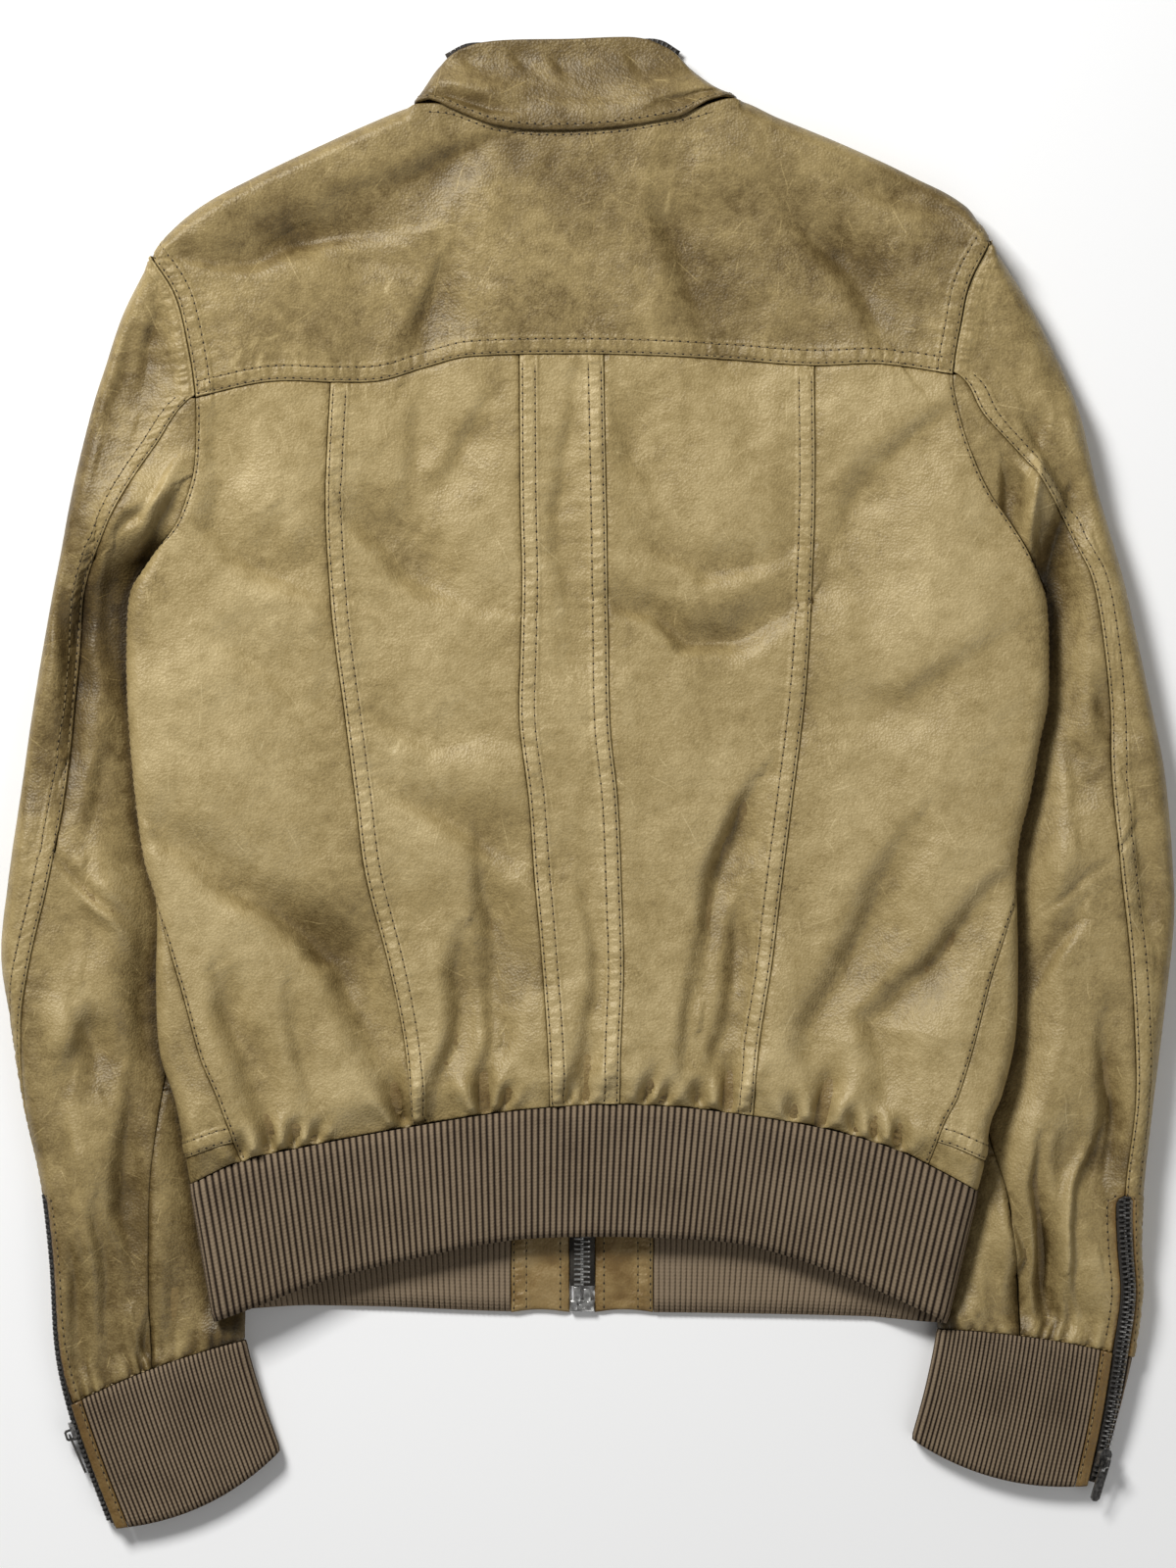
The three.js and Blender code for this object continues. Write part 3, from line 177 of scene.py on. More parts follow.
# Seams across the back: y at a place x
hem_seam = track(
    (-202.5, -203.5), (-177.5, -192), (-141, -184), (-89.5, -174.5), (-45.5, -167.5), (0, -163.5),
    (38, -164), (72.5, -167.5), (118.5, -175), (153, -184.5), (174, -194), (198.5, -207))
hem_edge = track(
    (-190.5, -274), (-166, -265), (-135.5, -253.5), (-108.5, -246.5), (-64.5, -237), (-36, -232.5),
    (0, -231), (48, -232), (76.5, -234.5), (95.5, -239), (124.5, -248.5), (145.5, -257), (183, -274))
yoke_seam = track(
    (-199.5, 196.5), (-162, 204.5), (-128, 204.5), (-105, 205.5), (-82, 212.5), (-61, 217.5), (0, 219),
    (60, 217), (115, 213), (150, 213.5), (185.5, 208.3))
shoulder = track(
    (-222, 268.5), (-214.5, 280), (-196.5, 295), (-169, 310), (-138, 325), (-104.5, 340), (-90, 345.5),
    (-80, 346.5), (-69.5, 345.5), (-60, 342), (-49, 338), (-33, 335.5), (-10, 335), (15, 336.5), (35, 339.5),
    (55, 344), (75, 349), (97, 340), (133, 325), (165.5, 310), (192.5, 295), (204, 279))

# Seams down the back: x at a height y
outer_left_seam = track(
    (-178, -89.5), (-134, -93.5), (-95.5, -101), (-46, -113.5), (-7.5, -118.5), (28, -123), (77.5, -129.5),
    (120, -133), (152, -133.5), (206, -131))
inner_left_seam = track(
    (-166, -19.5), (-134, -20.5), (-80, -24.5), (-46, -27.5), (-5, -30.5), (31.5, -35), (66, -34.5),
    (104.5, -33.7), (142.5, -34.5), (219, -35))
inner_right_seam = track(
    (-164, 16.2), (-134, 16.8), (-95.5, 18.2), (-53.5, 17.2), (-8.5, 15.3), (28, 11.5), (75.5, 10.5),
    (142.5, 9.5), (219, 8))
outer_right_seam = track(
    (-172, 84), (-134, 87), (-92, 93.7), (-46, 99.5), (-8, 104.3), (37.5, 110), (75.5, 113), (142.5, 115.7),
    (214, 115.3))

# How far the side seams lie from the outline, over the rolled edge
left_side_seam = track(
    (-203.5, 36), (-192, 33), (-166.5, 28), (-132, 24), (-101.5, 17), (-75, 8), (-60, 1), (-50, 0))
right_side_seam = track(
    (-207, 36), (-193, 33), (-168.5, 28), (-130, 25), (-97.5, 18), (-71, 9), (-55, 1), (-45, 0))

# Hidden edge of each sleeve under the body: x at a height y
left_tuck = track(
    (-341, -157.3), (-312, -167.3), (-284, -174.8), (-270, -175), (-218, -177.5), (-138, -178.5),
    (-50, -180), (0, -184), (55, -196), (106, left_side(106)))
right_tuck = track(
    (-335, 165.5), (-307, 173), (-278.5, 178.5), (-268, 178.5), (-215, 177.5), (-140, 180), (-50, 184),
    (0, 189), (50, 204), (98, right_side(98)))

LEFT = SimpleNamespace(
    sign=-1, side=left_side, tuck=left_tuck, side_seam=left_side_seam, armhole_end=128,
    outer_seam=outer_left_seam)
RIGHT = SimpleNamespace(
    sign=1, side=right_side, tuck=right_tuck, side_seam=right_side_seam, armhole_end=118,
    outer_seam=outer_right_seam)


def beside(x, y, start, end):
    """The share along a straight line of its nearest place to each point, and the distance to it."""
    (ax, ay), (bx, by) = start, end
    length = (bx - ax) ** 2 + (by - ay) ** 2
    t = np.clip(((x - ax) * (bx - ax) + (y - ay) * (by - ay)) / length, 0, 1)
    return t, np.hypot(x - mix(ax, bx, t), y - mix(ay, by, t))


def crease(depth, width, *points):
    """A trough along a line that is sharp at its start and opens out to its end. It is steep on the right of
    the line and falls gently from the left. A depth below zero makes a ridge."""
    spots = np.array(points, float)
    lengths = np.linalg.norm(np.diff(spots, axis=0), axis=1)
    starts = np.concatenate([[0], np.cumsum(lengths)])

    def height(x, y):
        nearest = np.full(np.shape(x), 1e9)
        along = np.zeros(np.shape(x))
        left = np.zeros(np.shape(x), bool)
        for (ax, ay), (bx, by), length, start in zip(spots[:-1], spots[1:], lengths, starts):
            t, gap = beside(x, y, (ax, ay), (bx, by))
            closer = gap < nearest
            nearest = np.where(closer, gap, nearest)
            along = np.where(closer, (start + t * length) / starts[-1], along)
            left = np.where(closer, (bx - ax) * (y - ay) > (by - ay) * (x - ax), left)
        taper = smooth(-0.2, 0.4, along) * smooth(1.3, 0.55, along)
        spread = width * mix(0.5, 0.85, along)
        return -depth * taper * bell(nearest, np.where(left, CREASE_LEAN * spread, spread))

    return height


def creases(*rows):
    return [crease(*row) for row in rows]


def gather(place, length, depth, lean=0.0):
    """A tuck that opens upwards from a gathered seam, between two soft lobes."""

    def height(x, above):
        across = x - place - lean * above
        width = 2.6 + 0.11 * above
        fade = smooth(length, 0.2 * length, above) * smooth(-1, 5, above)
        return depth * fade * (0.5 * bell(np.abs(across) - 2.1 * width, 1.2 * width) - bell(across, width))

    return height


def ripples(seed, size, cells=61):
    """Soft uneven ground, from -1 to 1, whose hills are about one size apart."""
    table = np.random.RandomState(seed).uniform(-1, 1, (cells, cells))

    def height(x, y):
        gx, gy = x / size, y / size
        ix, iy = np.floor(gx).astype(int), np.floor(gy).astype(int)
        fx, fy = smooth(0, 1, gx - ix), smooth(0, 1, gy - iy)

        def corner(i, j):
            return table[(ix + i) % cells, (iy + j) % cells]

        return mix(mix(corner(0, 0), corner(1, 0), fx), mix(corner(0, 1), corner(1, 1), fx), fy)

    return height


# Creases: depth, width, and the points of each line
BACK_FOLDS = creases(
    # Yoke
    (2.6, 10, (-45, 330), (-90, 312), (-135, 288)), (2.2, 8, (-72, 268), (-80, 240), (-90, 214)),
    (2.4, 10, (36, 305), (50, 270), (62, 232)), (3.2, 12, (104, 292), (128, 262), (156, 222)),
    (3.2, 7, (-206, 266), (-172, 269), (-136, 275), (-100, 284)), (2.4, 9, (128, 308), (196, 288)),
    (1.6, 12, (-178, 288), (-130, 268), (-70, 262)),
    # Outer left panel
    (6.5, 11, (-212, -30), (-170, -62), (-128, -92), (-108, -137), (-90, -182)),
    (4.8, 9, (-190, -96), (-174, -140), (-156, -184)), (2.6, 8, (-152, -108), (-134, -178)),
    (3.2, 11, (-190, 185), (-186, 131), (-166, 108), (-126, 92)), (2, 11, (-198, 82), (-142, 42)),
    # Inner left panel
    (3.6, 10, (-124, 142), (-91, 106), (-56, 92)), (1.8, 9, (-85, 194), (-92, 128)),
    (1.8, 9, (-52, 196), (-66, 160), (-84, 134)), (3.4, 10, (-100, -6), (-60, -26), (-26, -44)),
    (4.4, 9, (-56, -36), (-50, -74), (-49, -116)), (4.8, 8, (-61, -76), (-69, -120), (-78, -174)),
    (3, 7, (-53, -100), (-51, -178)), (1.6, 11, (-112, 42), (-80, 20), (-42, 26)),
    # Centre panel
    (1.6, 7, (-8, 208), (-16, 140), (-12, 56)), (2, 6, (-4, -46), (2, -110), (-6, -162)),
    # Inner right panel
    (4, 7, (6, 89), (30, 83), (50, 69), (73, 68), (102, 82)), (1.6, 9, (14, 204), (22, 165), (48, 142)),
    (5.2, 9, (90, 4), (66, -50), (58, -104)), (4.2, 8, (82, -58), (70, -110), (61, -166)),
    (2.8, 7, (52, -94), (49, -162)), (1.8, 10, (28, 134), (60, 108), (98, 118)),
    # Outer right panel
    (4.6, 12, (168, -24), (134, -82), (111, -122), (119, -182)),
    (4.6, 12, (222, -46), (175, -88), (144, -118), (160, -186)),
    (2.2, 11, (196, 198), (150, 160), (122, 108)), (1.8, 11, (208, 76), (160, 40), (118, 46)),
)
# Gathers along the hem seam: place, length, depth and lean
GATHERS = [gather(*row) for row in (
    (-176, 20, 2.2), (-162, 28, 3.2, -0.1), (-150, 20, 2.8, 0.1), (-139, 16, 2.4), (-93, 38, 4, -0.25),
    (-52, 36, 4, -0.2), (-44, 18, 2.4, 0.2), (-10, 26, 2.6, 0.1), (-2, 40, 3, 0.05), (28, 28, 3, 0.3),
    (38, 24, 2.8, 0.2), (56, 18, 2), (71, 38, 4, 0.1), (104, 18, 2.2), (118, 40, 4.2, 0.15), (136, 22, 2.6),
    (146, 26, 3), (158, 24, 3, 0.1),
)]
LEFT_SLEEVE_FOLDS = creases(
    (4.4, 7, (-250, 124), (-259, 70), (-266, 20)), (-3.2, 8, (-246, 122), (-232, 140), (-212, 152)),
    (3.6, 7, (-238, 118), (-243, 90), (-241, 50)), (-3.4, 8, (-258, -44), (-242, -64), (-224, -86)),
    (4.2, 8, (-224, -76), (-228, -112), (-222, -150)), (3, 8, (-263, -112), (-250, -152)),
    (-2.4, 8, (-270, -140), (-260, -110)), (3.8, 7, (-234, -150), (-238, -200), (-234, -262)),
    (-2.8, 9, (-262, -160), (-256, -220), (-258, -280)), (3, 6, (-250, -214), (-248, -300)),
    (2.4, 6, (-212, -230), (-214, -300)), (2.8, 6, (-264, -236), (-262, -306)),
    (2, 9, (-276, 40), (-282, -20)), (2.4, 8, (-246, 20), (-252, -30)), (2.2, 9, (-232, 236), (-246, 180)),
    (1.8, 7, (-218, 246), (-228, 196)), (2.4, 5, (-196, -262), (-202, -300)),
    (2.2, 5, (-226, -268), (-230, -308)), (-2.4, 5, (-209, 166), (-215, 146), (-221, 134), (-238, 123)),
    (2.8, 5, (-206, 150), (-215, 130), (-226, 110), (-236, 88)),
    (3, 3.5, (-266, -36), (-246, -58), (-234, -72), (-220, -86)),
    (2.6, 7, (-262, 130), (-264, 60), (-268, -20)),
)
RIGHT_SLEEVE_FOLDS = creases(
    (-3.6, 8, (232, 178), (227, 150), (226, 124)), (4.4, 7, (244, 146), (238, 110), (236, 76)),
    (3, 7, (220, 190), (238, 160), (254, 130)), (-3.2, 8, (232, -68), (248, -54), (266, -36)),
    (2.6, 5, (232, -70), (250, -55), (268, -38)), (3, 4.5, (221, -114), (236, -90), (249, -72)),
    (4.2, 6, (231, -216), (233, -250), (232, -286)), (-2.8, 8, (252, -188), (248, -230), (246, -268)),
    (2.8, 7, (262, -120), (258, -180), (262, -230)), (2.2, 8, (262, 60), (270, 10)),
    (2.4, 8, (244, 30), (250, -20)), (2, 9, (224, 236), (244, 190)), (2.6, 5, (206, -240), (204, -276)),
    (2.4, 5, (216, -244), (219, -280)), (2.4, 5, (246, -250), (244, -290)),
    (2.6, 9, (280, -20), (286, -80)), (2, 8, (240, -170), (246, -214)),
    (-2.2, 5.5, (213, 166), (222, 158), (227, 146), (229, 120)),
    (2.4, 4.5, (208, 166), (212, 148), (219, 118)), (3, 5.5, (230, 156), (232, 124), (238, 84)),
    (2.6, 5, (262, -136), (264, -170), (266, -206)), (3, 4, (228, -180), (232, -222), (230, -280)),
    (2.6, 4, (256, -176), (250, -226), (252, -280)), (2.4, 4, (214, -206), (222, -244), (214, -276)),
)
GROUND = [(1.3, ripples(3, 36)), (0.65, ripples(5, 16)), (0.24, ripples(8, 6.5))]
SWAY = [ripples(15, 42), ripples(16, 17), ripples(17, 42), ripples(18, 17)]


def total(folds, x, y):
    return sum(fold(x, y) for fold in folds)


def uneven(x, y):
    return sum(height * field(x, y) for height, field in GROUND)


def wander(x, y):
    """Moves a place a little, so that folds run unevenly."""
    return x + 5 * SWAY[0](x, y) + 1.6 * SWAY[1](x, y), y + 5 * SWAY[2](x, y) + 1.6 * SWAY[3](x, y)


def back_folds(x, y):
    above = np.maximum(y - hem_seam(x), 0)
    near = smooth(0, 50, above)
    wx, wy = wander(x, y)
    x, y = mix(x, wx, near), mix(y, wy, near)
    return BACK_DEPTH * total(BACK_FOLDS, x, y) + GATHER_DEPTH * total(GATHERS, x, above) + uneven(x, y)


def back_height(x, y):
    above = np.maximum(y - hem_seam(x), 0)
    sides = smooth(90, 200, np.abs(x))
    neck = NECK_RISE * smooth(200, 330, y) * (1 - sides)
    blouse = BLOUSE * smooth(0, 18, above) * (1 - smooth(28, 110, above))
    return mix(MIDDLE_HEIGHT, SIDE_HEIGHT, sides) + neck + blouse + back_folds(x, y)


def front_height(x, y):
    lift = 0
    for half in (LEFT, RIGHT):
        inside = -half.sign * (x - half.tuck(y))
        below = smooth(half.armhole_end - 4, half.armhole_end - 20, y)
        lift = np.maximum(lift, smooth(36, 2, inside) * below)
    return TUCK_LIFT * lift + ZIP_LIFT * smooth(250, 284, y) * bell(x - ZIP_X, 28)


# Shells

def made(name, points, quads, triangles, material, slot):
    """A smooth mesh from points in millimetres of the plan, riding on the jacket."""
    mesh = bpy.data.meshes.new(name)
    quads = np.asarray(quads, np.int32).reshape(-1, 4)
    triangles = np.asarray(triangles, np.int32).reshape(-1, 3)
    corners = np.concatenate([quads.ravel(), triangles.ravel()])
    starts = np.concatenate([np.arange(len(quads)) * 4, len(quads) * 4 + np.arange(len(triangles)) * 3])
    mesh.vertices.add(len(points))
    mesh.vertices.foreach_set("co", ((np.asarray(points) + ORIGIN) * 0.001).astype(np.float32).ravel())
    mesh.loops.add(len(corners))
    mesh.loops.foreach_set("vertex_index", corners.astype(np.int32))
    mesh.polygons.add(len(starts))
    mesh.polygons.foreach_set("loop_start", starts.astype(np.int32))
    mesh.polygons.foreach_set("use_smooth", np.ones(len(starts), bool))
    mesh.update(calc_edges=True)
    mesh.validate()
    mesh.materials.append(material)
    piece = bpy.data.objects.new(name, mesh)
    bpy.context.scene.collection.objects.link(piece)
    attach(piece, BODY)
    return piece


def repeated(name, points, faces, material, slot):
    """One mesh of many like bits, from the points of each bit and the faces of one."""
    faces = np.array(faces)
    starts = np.arange(len(points))[:, None, None] * points.shape[1]
    corners = faces.shape[1]
    every = (starts + faces[None]).reshape(-1, corners)
    quads, triangles = (every, []) if corners == 4 else ([], every)
    return made(name, points.reshape(-1, 3), quads, triangles, material, slot)


def lengths_along(points, axis):
    step = np.linalg.norm(np.diff(points, axis=axis), axis=2)
    first = np.zeros_like(np.take(step, [0], axis=axis))
    return np.concatenate([first, np.cumsum(step, axis=axis)], axis=axis)


def normals_of(points, looks):
    """Unit normals of a grid, and their sign, so that they look up or down at a share of its middle row."""
    cross = np.cross(np.gradient(points, axis=1), np.gradient(points, axis=0))
    cross /= np.maximum(np.linalg.norm(cross, axis=2, keepdims=True), 1e-9)
    column = round(looks[0] * (points.shape[1] - 1))
    sign = np.sign(cross[points.shape[0] // 2, column, 2] * looks[1])
    return cross * sign, sign


def wave(along, pitch, seed):
    return np.sin(2 * np.pi * along / pitch + 2.2 * np.sin(2 * np.pi * along / (3.7 * pitch) + seed))


def edge_relief(kind, gap, along, seed):
    """How far the leather stands out near one edge: a stitched band, a gathered or a tucked seam."""
    if kind == "band":
        level = 0.55 * smooth(BAND + 1.2, BAND - 0.6, gap) - 0.75 * np.exp(-gap / 0.5)
        rows = -0.4 * sum(bell(gap - row, 0.75) for row in STITCH_ROWS)
        ladder = 0.32 * wave(along, STITCH_PITCH, seed) * smooth(1.6, 3, gap) * smooth(8, 6, gap)
        drag = 0.16 * wave(along, 7.3, seed + 1) * np.exp(-np.abs(gap - BAND) / 5)
        return level + rows + ladder + drag
    if kind == "gathered":
        broad = 1.1 * np.exp(-gap / 9) * wave(along, 8.5, seed)
        narrow = 0.5 * np.exp(-gap / 4) * wave(along, 4.3, seed)
        return broad + narrow - 0.9 * np.exp(-gap / 1.2)
    if kind == "sewn":
        return -0.55 * np.exp(-gap / 0.6) - 0.3 * bell(gap - STITCH_ROWS[0], 0.7) + 0.1 * wave(
            along, STITCH_PITCH, seed) * np.exp(-gap / 4)
    if kind == "tucked":
        return -0.6 * np.exp(-gap / 1.1) + 0.12 * wave(along, 6.1, seed) * np.exp(-gap / 5)
    return -0.35 * np.exp(-gap / 0.6)


def rim_triangles(outer, inner, picked):
    """Joins an edge of the outer face to the coarser edge of the inner one."""
    triangles = []
    for k in range(len(picked) - 1):
        for i in range(picked[k], picked[k + 1]):
            triangles.append((outer[i], inner[k], outer[i + 1]))
        triangles.append((outer[picked[k + 1]], inner[k], inner[k + 1]))
    return triangles


def grid_quads(ids, turned):
    quads = np.stack([ids[:-1, :-1], ids[:-1, 1:], ids[1:, 1:], ids[1:, :-1]], axis=-1).reshape(-1, 4)
    return quads[:, ::-1] if turned else quads


def picked_of(count, step):
    return np.unique(np.append(np.arange(0, count, step), count - 1))


def shell(name, point, columns, rows, thickness, looks, material, slot, node, edges=(), relief=None,
          inner_relief=None, inner_step=(4, 4), tone=0.0, amber=None, weave=None, seed=0, dip=None):
    """A closed wall on the face point(u, v). It returns the piece with its face, normals and edge gaps."""
    u, v = np.meshgrid(np.asarray(columns, float), np.asarray(rows, float))
    base = np.stack(np.broadcast_arrays(*point(u, v)), axis=-1).astype(float)
    across, along = lengths_along(base, 1), lengths_along(base, 0)
    gaps = {"left": across, "right": across[:, -1:] - across, "low": along, "high": along[-1:] - along}
    beside = {"left": along, "right": along, "low": across, "high": across}
    normals, sign = normals_of(base, looks)
    raised = np.zeros(u.shape) if relief is None else np.broadcast_to(relief(u, v), u.shape).copy()
    edges = dict(edges)
    for k, (edge, kind) in enumerate(edges.items()):
        raised += edge_relief(kind, gaps[edge], beside[edge], seed + k)
    face = base + normals * raised[..., None]
    face[..., 2] = np.maximum(face[..., 2], 0)
    pick_rows, pick_columns = picked_of(len(rows), inner_step[0]), picked_of(len(columns), inner_step[1])
    chosen = np.ix_(pick_rows, pick_columns)
    depth = np.full(u.shape, float(thickness)) if inner_relief is None else thickness + inner_relief(u, v)
    back = (base - normals * depth[..., None])[chosen]
    back[..., 2] = np.maximum(back[..., 2], 0)
    outer_ids = np.arange(u.size).reshape(u.shape)
    inner_ids = u.size + np.arange(back.shape[0] * back.shape[1]).reshape(back.shape[:2])
    triangles = []
    for outer, inner, picked in (
            (outer_ids[0], inner_ids[0], pick_columns), (outer_ids[:, -1], inner_ids[:, -1], pick_rows),
            (outer_ids[-1][::-1], inner_ids[-1][::-1], (len(columns) - 1 - pick_columns)[::-1]),
            (outer_ids[::-1, 0], inner_ids[::-1, 0], (len(rows) - 1 - pick_rows)[::-1])):
        triangles += rim_triangles(outer, inner, picked)
    turned = sign < 0
    quads = np.concatenate([grid_quads(outer_ids, turned), grid_quads(inner_ids, not turned)])
    triangles = np.array(triangles)[:, ::-1] if turned else np.array(triangles)
    points = np.concatenate([face.reshape(-1, 3), back.reshape(-1, 3)])
    piece = made(name, points, quads, triangles, material, slot)
    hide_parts(node)
    cloth = SimpleNamespace(piece=piece, face=face, normals=normals, gaps=gaps, stations=v)
    if material is leather:
        # The depth painted into the leather's tone: on folds, painted shade in their troughs; on the trim, a
        # mottle.
        dips = 0 if dip is None else dip(base[..., 0], base[..., 1])
        paint(cloth, edges, raised, dips, tone, amber, chosen)
    if weave is not None:
        both = [np.stack(weave(a, b), axis=-1).reshape(-1, 2) for a, b in ((u, v), (u[chosen], v[chosen]))]
        layer = piece.data.uv_layers.new(name="weave")
        corner = np.zeros(len(piece.data.loops), np.int32)
        piece.data.loops.foreach_get("vertex_index", corner)
        layer.data.foreach_set("uv", np.concatenate(both)[corner].astype(np.float32).ravel())
    return cloth


def leather_piece(node, point, columns, rows, looks, edges, slot="leather", thickness=LEATHER, **wear_and_shade):
    """A shell of leather in the place of a node."""
    return shell(
        f"{node}_leather", point, columns, rows, thickness, looks, leather, slot, node, edges, **wear_and_shade)


# Areas of tone: x, y, radius along x and y, strength. Above zero is paler, below zero darker.
# The areas at (-232, 100) and (232, 96) are painted shade at the underarms, where the sleeves go under the
# body.
TONE_AND_SHADE_MARKS = [
    (-190, 70, 42, 100, 0.09), (190, 90, 44, 100, 0.09), (-178, -70, 40, 50, 0.05),
    (180, -60, 36, 60, 0.04), (-75, 30, 36, 80, 0.03), (-60, -130, 40, 26, 0.07), (70, -140, 50, 24, 0.06),
    (-110, 268, 60, 30, 0.05), (-30, 312, 40, 22, -0.07), (100, 280, 24, 30, -0.08),
    (-50, 245, 50, 22, -0.04), (150, 262, 40, 30, -0.05), (75, 108, 34, 30, -0.05), (50, 60, 30, 20, -0.04),
    (106, 0, 14, 80, -0.05), (-128, -60, 14, 70, -0.05), (-262, 30, 22, 90, -0.05),
    (-250, -250, 40, 60, -0.08), (-196, -190, 24, 70, -0.07), (-140, -150, 60, 34, 0.12),
    (236, -250, 44, 60, 0.12), (262, 20, 16, 70, 0.06), (250, -60, 30, 90, 0.07), (-255, -60, 30, 90, 0.05),
    (0, 362, 50, 14, -0.03), (-232, 100, 16, 40, -0.08), (232, 96, 14, 40, -0.08),
    (-262, 165, 22, 80, -0.18), (-284, 20, 14, 90, -0.05), (262, 165, 24, 60, 0.02),
    (140, -150, 60, 34, 0.13),
]
# An abraded patch and a few short scuffs: points of a stroke, then its half width
SCUFFS = [
    ((-181, 214), (-176, 220), 1.1), ((-177, 208), (-180, 213), 1.0), ((-168, 212), (-166, 218), 1.2),
    ((-172, 205), (-168, 206), 1.0), ((-163, 226), (-158, 228), 0.9), ((-172, 222), (-169, 226), 1.1),
    ((-103, 251), (-101, 256), 1.1), ((-26, 108), (-23, 111), 1.2), ((-16, 87), (-14, 89), 1.1),
    ((-196, -12), (-191, -13), 1.0), ((-99, 16), (-96, 22), 1.0), ((40, 292), (41, 300), 0.9),
]


def strokes(x, y):
    value = np.zeros(np.shape(x))
    for start, end, width in SCUFFS:
        value = np.maximum(value, bell(beside(x, y, start, end)[1], width))
    return value


def paint(cloth, edges, raised, dip, tone, amber, chosen):
    """Stores the tone, scuffs and amber of a leather piece at its points; the tone is partly painted shade.
    """
    x, y, z = np.moveaxis(cloth.face, -1, 0)
    # Painted shade: the troughs of folds and the low parts of the relief are painted darker, their crests
    # paler.
    value = tone + 0.021 * np.clip(dip, -19, 3) + 0.16 * np.clip(raised, -0.9, 0.5)
    # Areas of tone, two of them painted shade at the underarms.
    for mx, my, rx, ry, strength in TONE_AND_SHADE_MARKS:
        value = value + strength * np.exp(-(((x - mx) / rx) ** 2 + ((y - my) / ry) ** 2))
    # Darker near each edge. By a stitched band's edge, a thin paler line: partly edge wear, partly painted
    # highlight.
    for edge, kind in edges.items():
        value = value - 0.06 * np.exp(-cloth.gaps[edge] / 5)
        if kind == "band":
            value = value + 0.16 * bell(cloth.gaps[edge] - 0.7, 0.5)
    topside = smooth(2, 8, z)
    worn = strokes(x, y) * topside
    tint = np.zeros(x.shape) if amber is None else amber(cloth)
    layers = np.stack([0.5 + value, worn, tint, np.ones(x.shape)], axis=-1)
    inside = np.broadcast_to(np.array([0.36, 0, 0.25, 1.0]), layers[chosen].shape)
    colours = np.concatenate([layers.reshape(-1, 4), inside.reshape(-1, 4)])
    attribute = cloth.piece.data.attributes.new("wear_and_shade", "FLOAT_COLOR", "POINT")
    attribute.data.foreach_set("color", colours.astype(np.float32).ravel())


def spaced(length, step=2.0, start=None, end=None, fine=0.6):
    """Shares from 0 to 1 along a length, finer over a stretch at its start or end."""
    stops = [0.0]
    while stops[-1] < length:
        here = stops[-1]
        close = (start is not None and here < start) or (end is not None and here > length - end - step)
        stops.append(here + (fine if close else step))
    return np.array(stops) / stops[-1]


# Back of the body

def quarter(radius):
    return radius * np.pi / 2


def over_roll(arc, radius):
    """How far in and how far up a point of a rolled edge lies, by its distance over the roll."""
    angle = np.minimum(arc / radius, np.pi / 2)
    return radius * (1 - np.cos(angle)) + np.maximum(arc - quarter(radius), 0), np.sin(angle)


def side_roll(half, y):
    return mix(EDGE_ROLL, OPEN_ROLL, smooth(half.armhole_end - 22, half.armhole_end + 2, y))


def body_side(half, arc, y):
    """The face of the body near one side, by its distance over the rolled edge. Below zero is the front."""
    radius = side_roll(half, y)
    inwards, rise = over_roll(np.abs(arc), radius)
    x = half.side(y) - half.sign * inwards
    top, under = back_height(x, y), front_height(x, y)
    lifted = mix(rise, 1, smooth(EDGE_ROLL, OPEN_ROLL, radius))
    return x, y, mix((top + under) / 2, np.where(arc >= 0, top, under), lifted)


PANEL_ROWS = spaced(380, 1.15, start=6, end=4)


def inner_panel(node, left, right, band_edges, tone, seed):
    def point(u, v):
        x, y = np.zeros(u.shape), mix(-180.0, 200.0, v)
        for _ in range(8):
            x = mix(left(y) + SEAM / 2, right(y) - SEAM / 2, u)
            y = mix(hem_seam(x) + SEAM / 2, yoke_seam(x) - SEAM / 2, v)
        return x, y, back_height(x, y)

    edges = {edge: "band" if edge in band_edges else "tucked" for edge in ("left", "right")}
    fine = {edge: BAND + 2 if kind == "band" else 3 for edge, kind in edges.items()}
    columns = spaced(right(0) - left(0), 1.9, start=fine["left"], end=fine["right"])
    cloth = leather_piece(
        node, point, columns, PANEL_ROWS, (0.5, 1), {**edges, "low": "tucked", "high": "tucked"}, tone=tone,
        seed=seed, dip=back_folds)
    for edge in band_edges:
        sew_rows(cloth, edge, STITCH_ROWS)


def side_panel(node, half, tone, seed):
    def point(u, v):
        y = mix(-180.0, 200.0, v)
        arc = np.zeros(u.shape)
        for _ in range(8):
            radius = side_roll(half, y)
            width = half.sign * (half.side(y) - half.outer_seam(y))
            arc = mix(half.side_seam(y), width - radius + quarter(radius) - SEAM / 2, u)
            x = half.side(y) - half.sign * over_roll(arc, radius)[0]
            y = mix(hem_seam(x) + SEAM / 2, yoke_seam(x) - SEAM / 2, v)
        return body_side(half, arc + SEAM / 2 * (1 - u), y)

    edges = {"left": "sewn", "right": "tucked", "low": "tucked", "high": "tucked"}
    cloth = leather_piece(
        node, point, spaced(120, 2.1, start=4, end=4), PANEL_ROWS, (0.8, 1), edges, tone=tone, seed=seed,
        dip=back_folds)
    sew_rows(cloth, "left", STITCH_ROWS[:1])


def shoulder_roll(x):
    """Radius of the fold at the shoulders, which is open at the neck."""
    neck = smooth(NECK_LEFT - NECK_TURN, NECK_LEFT, x) * smooth(NECK_RIGHT + NECK_TURN, NECK_RIGHT, x)
    return mix(SHOULDER_ROLL, OPEN_ROLL, neck)


